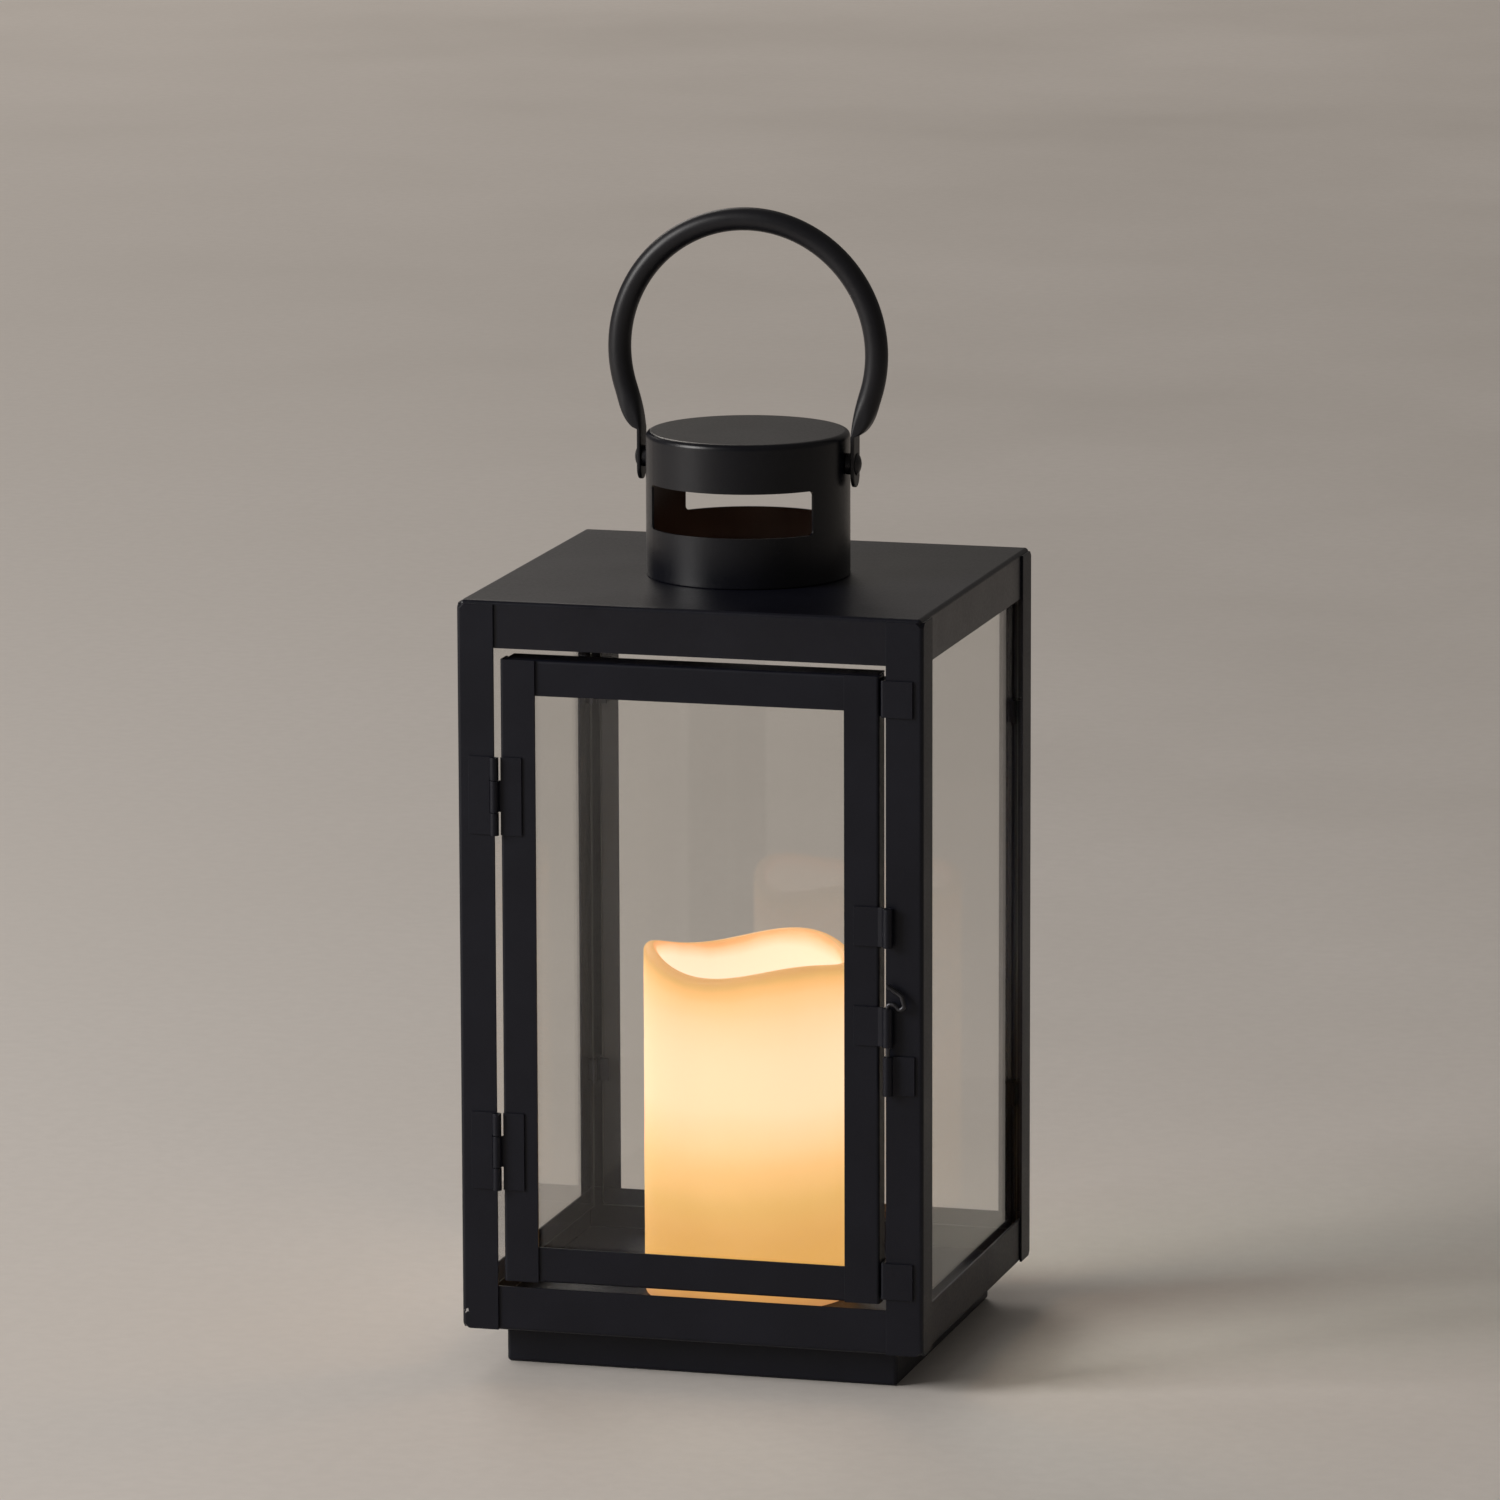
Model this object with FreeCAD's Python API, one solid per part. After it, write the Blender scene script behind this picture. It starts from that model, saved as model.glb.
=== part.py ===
import FreeCAD, Part
import math
import os
from FreeCAD import Vector

# Candle lantern in black powder-coated sheet metal, millimetres, +Z up.
# Origin: centre of the plinth's underside, on the surface that the lantern stands on.
# The door is on the -Y side, hinged at -X and latched at +X.

# ---- Driving dimensions -------------------------------------------------------------
SHEET = 0.8                 # thickness of all folded sheet metal
BODY_WIDTH = 160.0          # outside of the corner posts, along X
BODY_DEPTH = 150.0          # outside of the corner posts, along Y
PLINTH_HEIGHT = 13.6
PLINTH_INSET = 12.0         # how far the plinth stands in from the posts
TRAY_HEIGHT = 15.2          # folded-up wall of the base tray
ROOF_TOP = 262.4
ROOF_SKIRT = 15.9           # folded-down wall of the roof pan
BEND = 1.4                  # outside radius of the folds

POST_FLANGE = 12.7
POST_BOTTOM = 13.8
POST_TOP = 261.3
POST_CLIP = 2.6             # clipped corner at each end of a post's fold

PANE_THICKNESS = 2.0
PANE_LAP = 5.6              # how far each pane reaches behind the metal round it
PANE_GAP = 1.4              # between the side and rear panes and the metal in front of them
CLIP_LENGTH = 8.0
CLIP_FOOT = 5.0             # part of a pane clip on the metal
CLIP_LIP = 2.6              # part of a pane clip over the glass
CLIP_LEVELS = (72.0, 206.0)

DOOR_BOTTOM = 31.0
DOOR_TOP = 243.0
DOOR_HALF_WIDTH = 65.05
STILE_WIDTH = 12.0
STILE_RETURN = 7.2          # depth of the folded side of a stile
RAIL_WIDTH = 12.0
RAIL_RETURN = 12.4          # depth of the folded side of a rail
RAIL_RELIEF = 0.4           # a rail's folded side stops this far short of its front strip

HINGE_X = -66.8
HINGE_LEVELS = (196.8, 75.6)
HINGE_LEAF_THICKNESS = 0.7
HINGE_LEAF_REACH = 9.2      # from the pin's axis to a leaf's free edge
HINGE_BARREL_RADIUS = 1.5
HINGE_PIN_RADIUS = 0.75
HINGE_HEIGHT = 26.4
HINGE_OUTER_KNUCKLE = 7.6
HINGE_GAP = 0.3
RUNNING_CLEARANCE = 0.05

LATCH_X = 68.5
LATCH_STAND_OFF = 2.0       # from the posts' front to the latch's axis
LATCH_BARREL_RADIUS = 1.65
LATCH_BARREL_HEIGHT = 13.2
LATCH_UPPER = 152.6         # bottom of each barrel
LATCH_LOWER = 119.0
LATCH_KEEPER = 102.6
WIRE_RADIUS = 0.8
WIRE_BOTTOM = 104.5
WIRE_BEND = 1.3

STOP_HEIGHT = 12.3
STOP_BOTTOMS = (229.5, 32.9)
STOP_RIGHT = 76.6
STOP_TONGUE = 4.0           # part of a stop that reaches behind the door

CHIMNEY_RADIUS = 34.4
CHIMNEY_TOP = 311.2
CHIMNEY_ROUND = 2.0
CHIMNEY_FOOT = 2.6          # turned-in foot that sits on the roof
WINDOW_BOTTOM = 279.6
WINDOW_HEIGHT = 15.0
WINDOW_HALF_WIDTH = 28.0
WINDOW_ROUND = 1.6
VENT_RADIUS = 30.0          # hole in the roof under the chimney

PIVOT_HEIGHT = 301.0        # axis of the handle's rivets
RING_CENTRE = 337.9
RING_RADIUS = 44.7          # to the middle of the tube
RING_TUBE_RADIUS = 3.9
RING_TAPER_TOP = 324.4      # where the tube starts to flatten
LUG_TOP = 310.5
LUG_DROP = 7.8              # how far a lug reaches below its rivet
LUG_WIDTH = 8.4
LUG_THICKNESS = 1.4
LUG_INNER = 36.5            # inner face of a lug, along X
RIVET_RADIUS = 2.0
RIVET_HEAD_RADIUS = 3.8
RIVET_HEAD_HEIGHT = 1.4
WASHER_RADIUS = 3.6         # spacer between a lug and the chimney

CANDLE_RADIUS = 36.0
CANDLE_TOP = 132.0
CANDLE_GAP = 0.1            # candle's base above the tray's floor
WAX_RIM = 4.5               # thickness of the wax round the hollow top
WAX_HOLLOW_FLOOR = 96.0
CAVITY_RADIUS = 29.5        # moulded space in the wax for the battery box
CAVITY_HEIGHT = 34.0
STEM_RADIUS = 7.6
STEM_TOP = 106.0
BOX_WALL = 1.4
BOX_HEIGHT = 17.6
COVER_THICKNESS = 1.6
CELL_RADIUS = 5.25          # AAA cell
CELL_LENGTH = 44.5
CELL_SPREAD = 6.6           # each cell's axis, either side of the middle
SWITCH_X = 20.0
SWITCH_KNOB_LENGTH = 4.0
SWITCH_TRAVEL = 3.0

# ---- Values worked out from them ----------------------------------------------------
HALF_W = BODY_WIDTH / 2
HALF_D = BODY_DEPTH / 2
SKIN_W = HALF_W - SHEET     # outside of the roof pan and tray, behind the posts
SKIN_D = HALF_D - SHEET
FRONT = -HALF_D
TRAY_TOP = PLINTH_HEIGHT + TRAY_HEIGHT
TRAY_FLOOR = PLINTH_HEIGHT + SHEET
SKIRT_BOTTOM = ROOF_TOP - ROOF_SKIRT
HINGE_Y = FRONT - HINGE_BARREL_RADIUS
LATCH_Y = FRONT - LATCH_STAND_OFF
CANDLE_BASE = TRAY_FLOOR + CANDLE_GAP
LUG_MIDDLE = LUG_INNER + LUG_THICKNESS / 2
Z_AXIS = Vector(0, 0, 1)

os.makedirs("parts", exist_ok=True)


# ---- Helpers ------------------------------------------------------------------------
def save(name, solids):
    """Write one node: a single solid or a group of separate ones."""
    shape = solids if not isinstance(solids, list) else Part.makeCompound(solids)
    shape.exportStep("parts/" + name + ".step")


def block(low, high):
    """Box between two corners."""
    size = Vector(*high) - Vector(*low)
    return Part.makeBox(size.x, size.y, size.z, Vector(*low))


def cylinder(radius, start, end):
    """Round bar between two points."""
    start = Vector(*start)
    run = Vector(*end) - start
    return Part.makeCylinder(radius, run.Length, start, run)


def prism(points, height, direction):
    """Extrude a closed outline, given as 3-D points in one plane."""
    corners = [Vector(*p) for p in points]
    face = Part.Face(Part.makePolygon(corners + corners[:1]))
    return face.extrude(direction * height)


def vertical_edges(shape):
    """Straight edges that run along Z."""
    return [e for e in shape.Edges
            if isinstance(e.Curve, Part.Line) and abs(e.tangentAt(e.FirstParameter).z) > 0.999]


def edges_at(shape, level):
    """Edges that lie at one height."""
    return [e for e in shape.Edges
            if abs(e.BoundBox.ZMin - level) < 1e-4 and abs(e.BoundBox.ZMax - level) < 1e-4]


def folded_pan(half_x, half_y, low, high, closed_at):
    """Pan of folded sheet: four walls and one closed side, rounded on its folds."""
    outer = block((-half_x, -half_y, low), (half_x, half_y, high))
    outer = outer.makeFillet(BEND, vertical_edges(outer) + edges_at(outer, closed_at))
    inner_x = half_x - SHEET
    inner_y = half_y - SHEET
    floor = low + SHEET if closed_at == low else low
    ceiling = high - SHEET if closed_at == high else high
    inner = block((-inner_x, -inner_y, floor), (inner_x, inner_y, ceiling))
    fold = ceiling if closed_at == high else floor
    inner = inner.makeFillet(BEND - SHEET, vertical_edges(inner) + edges_at(inner, fold))
    return outer.cut(inner)


def turned(shape, degrees):
    """The shape turned about the lantern's vertical axis."""
    copy = shape.copy()
    copy.rotate(Vector(0, 0, 0), Z_AXIS, degrees)
    return copy


def mirrored_x(shape):
    """The shape on the other side, left for right."""
    return shape.mirror(Vector(0, 0, 0), Vector(1, 0, 0))


def revolve(profile, centre=(0, 0)):
    """Solid of revolution about a vertical axis from (radius, z) points."""
    points = [Vector(r + centre[0], centre[1], z) for r, z in profile]
    face = Part.Face(Part.makePolygon(points + points[:1]))
    return face.revolve(Vector(centre[0], centre[1], 0), Z_AXIS, 360)


def rounded_path(points, radius):
    """Wire of straight runs joined by tangent arcs of one radius."""
    corners = [Vector(*p) for p in points]
    edges = []
    here = corners[0]
    for before, corner, after in zip(corners, corners[1:], corners[2:]):
        back = (before - corner).normalize()
        ahead = (after - corner).normalize()
        half_angle = back.getAngle(ahead) / 2
        run = radius / math.tan(half_angle)
        start = corner + back * run
        end = corner + ahead * run
        towards = (back + ahead).normalize()
        middle = corner + towards * (radius / math.sin(half_angle) - radius)
        edges.append(Part.LineSegment(here, start).toShape())
        edges.append(Part.Arc(start, middle, end).toShape())
        here = end
    edges.append(Part.LineSegment(here, corners[-1]).toShape())
    return Part.Wire(edges)


# ---- Base, posts and roof -----------------------------------------------------------
def make_plinth():
    """Inset foot: a closed pan that the lantern stands on."""
    return folded_pan(HALF_W - PLINTH_INSET, HALF_D - PLINTH_INSET, 0, PLINTH_HEIGHT, 0)


def make_base_tray():
    return folded_pan(SKIN_W, SKIN_D, PLINTH_HEIGHT, TRAY_TOP, PLINTH_HEIGHT)


def make_roof_pan():
    """Roof with its skirt folded down, and a round vent under the chimney."""
    pan = folded_pan(SKIN_W, SKIN_D, SKIRT_BOTTOM, ROOF_TOP, ROOF_TOP)
    return pan.cut(cylinder(VENT_RADIUS, (0, 0, ROOF_TOP - 5), (0, 0, ROOF_TOP + 5)))


def corner_wedge(corner, inward, cut):
    """Pyramid that clips the 3-D corner of a box; inward gives the way in along X, Y and Z."""
    tips = [Vector(*corner) + Vector(*[cut * step if axis == i else 0 for i, step in enumerate(inward)])
            for axis in range(3)]
    face = Part.Face(Part.makePolygon(tips + tips[:1]))
    return face.extrude(Vector(*inward) * -cut)


def make_front_right_post():
    """Angle section with its outer corner clipped at both ends."""
    inner_x = HALF_W - POST_FLANGE
    inner_y = FRONT + POST_FLANGE
    outside = block((inner_x, FRONT, POST_BOTTOM), (HALF_W, inner_y, POST_TOP))
    fold = [e for e in vertical_edges(outside)
            if e.BoundBox.XMin > HALF_W - 0.1 and e.BoundBox.YMax < FRONT + 0.1]
    outside = outside.makeFillet(BEND, fold)
    hollow = block((inner_x - 1, FRONT + SHEET, POST_BOTTOM - 1),
                   (HALF_W - SHEET, inner_y + 1, POST_TOP + 1))
    post = outside.cut(hollow)
    bottom = corner_wedge((HALF_W, FRONT, POST_BOTTOM), (-1, 1, 1), POST_CLIP)
    top = corner_wedge((HALF_W, FRONT, POST_TOP), (-1, 1, -1), POST_CLIP)
    return post.cut(bottom).cut(top)


# ---- Glass and the bent clips that hold it ------------------------------------------
PANE_BOTTOM = TRAY_TOP - PANE_LAP
PANE_TOP = SKIRT_BOTTOM + PANE_LAP
PANE_HALF_SIDE = HALF_D - POST_FLANGE + PANE_LAP
PANE_HALF_REAR = HALF_W - POST_FLANGE + PANE_LAP


def pane(half_width, outer, low, high):
    """Upright sheet of glass on the +Y side, with ground edges."""
    glass = block((-half_width, outer - PANE_THICKNESS, low), (half_width, outer, high))
    long_edges = [e for e in glass.Edges if e.Length > PANE_THICKNESS + 1]
    return glass.makeChamfer(0.2, long_edges)


def pane_clip(edge, outer, backing, level):
    """Z-shaped clip past the pane's +X edge: foot on the metal, lip over the glass."""
    inner = outer - PANE_THICKNESS
    root = edge + 0.3
    outline = [(root + CLIP_FOOT, backing), (root, backing), (root, inner),
               (edge - CLIP_LIP, inner), (edge - CLIP_LIP, inner - SHEET),
               (root + SHEET, inner - SHEET), (root + SHEET, backing - SHEET),
               (root + CLIP_FOOT, backing - SHEET)]
    points = [(x, y, level - CLIP_LENGTH / 2) for x, y in outline]
    return prism(points, CLIP_LENGTH, Z_AXIS)


def clips_for(edge, outer, backing):
    """The four clips of one pane on the +Y side."""
    right = [pane_clip(edge, outer, backing, level) for level in CLIP_LEVELS]
    return right + [mirrored_x(c) for c in right]


# ---- Door ---------------------------------------------------------------------------
DOOR_PANE_OUTER = FRONT + 2 * SHEET     # behind the stiles and the rails
DOOR_PANE_HALF = DOOR_HALF_WIDTH - STILE_WIDTH + 4.4


def make_right_stile():
    """Upright door member: front strip and one folded side."""
    inner_x = DOOR_HALF_WIDTH - STILE_WIDTH
    outside = block((inner_x, FRONT, DOOR_BOTTOM), (DOOR_HALF_WIDTH, FRONT + STILE_RETURN, DOOR_TOP))
    fold = [e for e in vertical_edges(outside)
            if e.BoundBox.XMin > DOOR_HALF_WIDTH - 0.1 and e.BoundBox.YMax < FRONT + 0.1]
    outside = outside.makeFillet(1.0, fold)
    hollow = block((inner_x - 1, FRONT + SHEET, DOOR_BOTTOM - 1),
                   (DOOR_HALF_WIDTH - SHEET, 0, DOOR_TOP + 1))
    return outside.cut(hollow)


def make_rail(edge, inward):
    """Cross member behind the stiles: front strip and one folded side at its outer edge."""
    half = DOOR_HALF_WIDTH - SHEET - 0.1
    front = FRONT + SHEET
    strip = block((-half, front, min(edge, edge + inward * RAIL_WIDTH)),
                  (half, front + SHEET, max(edge, edge + inward * RAIL_WIDTH)))
    level = min(edge, edge + inward * SHEET)
    side = block((RAIL_RELIEF - half, front, level),
                 (half - RAIL_RELIEF, FRONT + RAIL_RETURN, level + SHEET))
    return strip.fuse(side).removeSplitter()


# ---- Hinges -------------------------------------------------------------------------
def hinge_knuckle(low, high):
    barrel = cylinder(HINGE_BARREL_RADIUS, (HINGE_X, HINGE_Y, low), (HINGE_X, HINGE_Y, high))
    bore = cylinder(HINGE_PIN_RADIUS + RUNNING_CLEARANCE,
                    (HINGE_X, HINGE_Y, low - 1), (HINGE_X, HINGE_Y, high + 1))
    return barrel, bore


def hinge_leaf(middle, side, knuckles):
    """Flat leaf on one side of the pin, rolled round the pin at the given heights."""
    low = middle - HINGE_HEIGHT / 2
    high = middle + HINGE_HEIGHT / 2
    near = HINGE_X + side * (HINGE_BARREL_RADIUS + 0.4)
    far = HINGE_X + side * HINGE_LEAF_REACH
    face = FRONT - HINGE_LEAF_THICKNESS
    leaf = block((min(near, far), face, low), (max(near, far), FRONT, high))
    for start, end in knuckles:
        neck = block((min(HINGE_X, near), face, start), (max(HINGE_X, near), FRONT, end))
        barrel, bore = hinge_knuckle(start, end)
        leaf = leaf.fuse(neck).fuse(barrel).cut(bore)
    return leaf.removeSplitter()


def hinge_parts(middle):
    """Post leaf with two knuckles, door leaf with the middle one, and the pin."""
    low = middle - HINGE_HEIGHT / 2
    high = middle + HINGE_HEIGHT / 2
    split_low = low + HINGE_OUTER_KNUCKLE
    split_high = high - HINGE_OUTER_KNUCKLE
    post_leaf = hinge_leaf(middle, -1, [(low, split_low), (split_high, high)])
    door_leaf = hinge_leaf(middle, 1, [(split_low + HINGE_GAP, split_high - HINGE_GAP)])
    pin = cylinder(HINGE_PIN_RADIUS, (HINGE_X, HINGE_Y, low + 0.3), (HINGE_X, HINGE_Y, high - 0.3))
    return post_leaf, door_leaf, pin


# ---- Latch --------------------------------------------------------------------------
def latch_barrel(low):
    """Rolled tube that the wire bolt slides in, and its bore."""
    high = low + LATCH_BARREL_HEIGHT
    barrel = cylinder(LATCH_BARREL_RADIUS, (LATCH_X, LATCH_Y, low), (LATCH_X, LATCH_Y, high))
    bore = cylinder(WIRE_RADIUS + RUNNING_CLEARANCE,
                    (LATCH_X, LATCH_Y, low - 1), (LATCH_X, LATCH_Y, high + 1))
    return barrel, bore


def make_latch_guide(low):
    """Door-side guide: a leaf on the stile, jogged forward to carry the barrel over the post."""
    barrel, bore = latch_barrel(low)
    back = LATCH_Y + LATCH_BARREL_RADIUS
    edge = DOOR_HALF_WIDTH
    outline = [(56.4, FRONT), (edge, FRONT), (edge + 1.4, back), (LATCH_X, back),
               (LATCH_X, back - SHEET), (edge + 1.1, back - SHEET), (edge - 0.3, FRONT - SHEET),
               (56.4, FRONT - SHEET)]
    leaf = prism([(x, y, low) for x, y in outline], LATCH_BARREL_HEIGHT, Z_AXIS)
    return leaf.fuse(barrel).cut(bore).removeSplitter()


def make_latch_keeper():
    """Post-side keeper: its barrel takes the bottom of the bolt."""
    barrel, bore = latch_barrel(LATCH_KEEPER)
    back = LATCH_Y + LATCH_BARREL_RADIUS
    outline = [(LATCH_X, back), (LATCH_X + 1.6, back), (LATCH_X + 2.4, FRONT), (77.3, FRONT),
               (77.3, FRONT - SHEET), (LATCH_X + 2.1, FRONT - SHEET),
               (LATCH_X + 1.3, back - SHEET), (LATCH_X, back - SHEET)]
    leaf = prism([(x, y, LATCH_KEEPER) for x, y in outline], LATCH_BARREL_HEIGHT, Z_AXIS)
    return leaf.fuse(barrel).cut(bore).removeSplitter()


def make_latch_bolt():
    """Wire pin with a small loop bent in its top as a finger hold."""
    rest = LATCH_LOWER + LATCH_BARREL_HEIGHT + WIRE_BEND + 0.1
    path = rounded_path([(LATCH_X, LATCH_Y, WIRE_BOTTOM), (LATCH_X, LATCH_Y, rest),
                         (LATCH_X + 2.3, LATCH_Y - 0.1, rest), (LATCH_X + 4.2, LATCH_Y - 0.2, rest - 2.0),
                         (LATCH_X + 5.8, LATCH_Y - 0.3, rest - 0.5), (LATCH_X + 4.8, LATCH_Y - 0.3, rest + 3.0),
                         (LATCH_X - 0.2, LATCH_Y, rest + 6.2)], WIRE_BEND)
    section = Part.Wire(Part.makeCircle(WIRE_RADIUS, Vector(LATCH_X, LATCH_Y, WIRE_BOTTOM), Z_AXIS))
    return path.makePipeShell([section], True, True)


def make_door_stop(low):
    """Bent plate on the right post that the closed door rests against."""
    web = DOOR_HALF_WIDTH + 0.6
    tongue = FRONT + STILE_RETURN + 0.25
    outline = [(STOP_RIGHT, FRONT), (web + SHEET, FRONT), (web + SHEET, tongue + SHEET),
               (web - STOP_TONGUE, tongue + SHEET), (web - STOP_TONGUE, tongue), (web, tongue),
               (web, FRONT - SHEET), (STOP_RIGHT, FRONT - SHEET)]
    plate = prism([(x, y, low) for x, y in outline], STOP_HEIGHT, Z_AXIS)
    fold = [e for e in vertical_edges(plate)
            if abs(e.BoundBox.XMin - web) < 0.01 and abs(e.BoundBox.YMin - FRONT + SHEET) < 0.01]
    return plate.makeFillet(0.7, fold)


# ---- Chimney and handle -------------------------------------------------------------
def make_chimney():
    """Drawn cap with a turned-in foot and a wide window front and back."""
    outer = cylinder(CHIMNEY_RADIUS, (0, 0, ROOF_TOP), (0, 0, CHIMNEY_TOP))
    outer = outer.makeFillet(CHIMNEY_ROUND, edges_at(outer, CHIMNEY_TOP))
    inner_radius = CHIMNEY_RADIUS - SHEET
    inner = cylinder(inner_radius, (0, 0, ROOF_TOP + SHEET), (0, 0, CHIMNEY_TOP - SHEET))
    inner = inner.makeFillet(CHIMNEY_ROUND - SHEET, edges_at(inner, CHIMNEY_TOP - SHEET))
    mouth = cylinder(inner_radius - CHIMNEY_FOOT, (0, 0, ROOF_TOP - 1), (0, 0, ROOF_TOP + 2))
    window = block((-WINDOW_HALF_WIDTH, -CHIMNEY_RADIUS - 5, WINDOW_BOTTOM),
                   (WINDOW_HALF_WIDTH, CHIMNEY_RADIUS + 5, WINDOW_BOTTOM + WINDOW_HEIGHT))
    corners = [e for e in window.Edges if e.Length > 2 * CHIMNEY_RADIUS]
    window = window.makeFillet(WINDOW_ROUND, corners)
    rivet_hole = cylinder(RIVET_RADIUS + RUNNING_CLEARANCE,
                          (-50, 0, PIVOT_HEIGHT), (50, 0, PIVOT_HEIGHT))
    return outer.cut(inner).cut(mouth).cut(window).cut(rivet_hole)


def make_right_rivet():
    """Domed head outside the lug, shank through it, flat head inside the chimney."""
    inside = CHIMNEY_RADIUS - SHEET - 0.2
    outside = LUG_INNER + LUG_THICKNESS + RUNNING_CLEARANCE
    shank = cylinder(RIVET_RADIUS, (inside - 0.5, 0, PIVOT_HEIGHT), (outside + 0.5, 0, PIVOT_HEIGHT))
    flat_head = cylinder(RIVET_HEAD_RADIUS, (inside - 1.3, 0, PIVOT_HEIGHT), (inside, 0, PIVOT_HEIGHT))
    dome_radius = (RIVET_HEAD_RADIUS ** 2 + RIVET_HEAD_HEIGHT ** 2) / (2 * RIVET_HEAD_HEIGHT)
    ball = Part.makeSphere(dome_radius,
                           Vector(outside + RIVET_HEAD_HEIGHT - dome_radius, 0, PIVOT_HEIGHT))
    half_space = block((outside, -10, PIVOT_HEIGHT - 10), (outside + 10, 10, PIVOT_HEIGHT + 10))
    return shank.fuse(flat_head).fuse(ball.common(half_space)).removeSplitter()


def make_right_washer():
    start = CHIMNEY_RADIUS + RUNNING_CLEARANCE
    end = LUG_INNER - RUNNING_CLEARANCE
    disc = cylinder(WASHER_RADIUS, (start, 0, PIVOT_HEIGHT), (end, 0, PIVOT_HEIGHT))
    return disc.cut(cylinder(RIVET_RADIUS + RUNNING_CLEARANCE,
                             (start - 1, 0, PIVOT_HEIGHT), (end + 1, 0, PIVOT_HEIGHT)))


def ring_point(height):
    """Point of the ring's centre line on the +X side at a height."""
    return Vector(math.sqrt(RING_RADIUS ** 2 - (height - RING_CENTRE) ** 2), 0, height)


def make_right_ring_end():
    """Tube pinched flat on its outer side into a lug with a round end and a rivet hole."""
    start = ring_point(RING_TAPER_TOP)
    along = Vector(start.z - RING_CENTRE, 0, -start.x)
    half = LUG_WIDTH / 2
    sections = [Part.Wire(Part.makeCircle(RING_TUBE_RADIUS, start, along))]
    for rise, half_x in ((7.5, 3.5), (3.8, 2.85), (1.2, 1.8), (0, LUG_THICKNESS / 2)):
        centre = Vector(LUG_INNER + half_x, 0, LUG_TOP + rise)
        across, out = Vector(0, half, 0), Vector(half_x, 0, 0)
        major, minor = (across, out) if half > half_x else (out, across)
        sections.append(Part.Wire(Part.Ellipse(centre + major, centre + minor, centre).toShape()))
    taper = Part.makeLoft(sections, True)
    plate = block((LUG_INNER, -half, PIVOT_HEIGHT - LUG_DROP), (LUG_INNER + LUG_THICKNESS, half, LUG_TOP))
    low = [e for e in plate.Edges
           if abs(e.Length - LUG_THICKNESS) < 0.01 and e.BoundBox.ZMax < PIVOT_HEIGHT]
    plate = plate.makeFillet(half - 0.05, low)
    hole = cylinder(RIVET_RADIUS + RUNNING_CLEARANCE, (30, 0, PIVOT_HEIGHT), (45, 0, PIVOT_HEIGHT))
    return taper.fuse(plate).cut(hole)


def make_ring_handle():
    """Round tube bent to a ring, open at the bottom, with a flattened lug at each end."""
    start = ring_point(RING_TAPER_TOP)
    top = Vector(0, 0, RING_CENTRE + RING_RADIUS)
    arc = Part.Arc(start, top, Vector(-start.x, 0, start.z)).toShape()
    along = Vector(start.z - RING_CENTRE, 0, -start.x)
    section = Part.Wire(Part.makeCircle(RING_TUBE_RADIUS, start, along))
    tube = Part.Wire(arc).makePipeShell([section], True, True)
    right = make_right_ring_end()
    return tube.fuse([right, mirrored_x(right)]).removeSplitter()


# ---- Battery candle -----------------------------------------------------------------
def make_candle_wax():
    """Wax pillar with a hollow top, and a space underneath for the battery box."""
    rim_round = 1.6
    hollow = CANDLE_RADIUS - WAX_RIM
    cavity_top = CANDLE_BASE + CAVITY_HEIGHT
    bore = STEM_RADIUS + 0.2
    profile = [(CAVITY_RADIUS, CANDLE_BASE), (CANDLE_RADIUS - 1, CANDLE_BASE),
               (CANDLE_RADIUS, CANDLE_BASE + 1), (CANDLE_RADIUS, CANDLE_TOP - rim_round),
               (CANDLE_RADIUS - rim_round, CANDLE_TOP), (hollow + rim_round, CANDLE_TOP),
               (hollow, CANDLE_TOP - rim_round), (hollow, WAX_HOLLOW_FLOOR + 6),
               (hollow - 6, WAX_HOLLOW_FLOOR), (bore, WAX_HOLLOW_FLOOR), (bore, cavity_top),
               (CAVITY_RADIUS, cavity_top)]
    return revolve(profile)


def make_light_stem():
    """Frosted stem that carries the lamp up through the wax."""
    foot = CANDLE_BASE + CAVITY_HEIGHT - 2.2
    profile = [(3.2, foot), (13.0, foot), (13.0, foot + 2), (STEM_RADIUS, foot + 2),
               (STEM_RADIUS, STEM_TOP - 5), (STEM_RADIUS - 1.6, STEM_TOP - 1.6),
               (3.0, STEM_TOP), (0, STEM_TOP), (0, STEM_TOP - 3), (3.2, STEM_TOP - 4.5)]
    return revolve(profile)


BOARD_LEVEL = CANDLE_BASE + CAVITY_HEIGHT - 8.0
COVER_LOW = CANDLE_BASE + 0.4
BOX_LOW = COVER_LOW + COVER_THICKNESS
CELL_LEVEL = BOX_LOW + CELL_RADIUS + 3.6


def make_led():
    """Round lamp with a collar and two legs into the circuit board."""
    low = BOARD_LEVEL + 8.0
    bulb = revolve([(0, low), (2.9, low), (2.9, low + 1), (2.5, low + 1), (2.5, low + 6.4),
                    (1.6, low + 8.2), (0, low + 8.7)])
    legs = [cylinder(0.3, (x, 0, BOARD_LEVEL + 1.6), (x, 0, low + 0.5)) for x in (-1.27, 1.27)]
    return bulb.fuse(legs)


def make_circuit_board():
    board = cylinder(16.0, (0, 0, BOARD_LEVEL), (0, 0, BOARD_LEVEL + 1.6))
    chip = block((-9, -3, BOARD_LEVEL + 1.6), (-4, 3, BOARD_LEVEL + 3.2))
    return board.fuse(chip)


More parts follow.
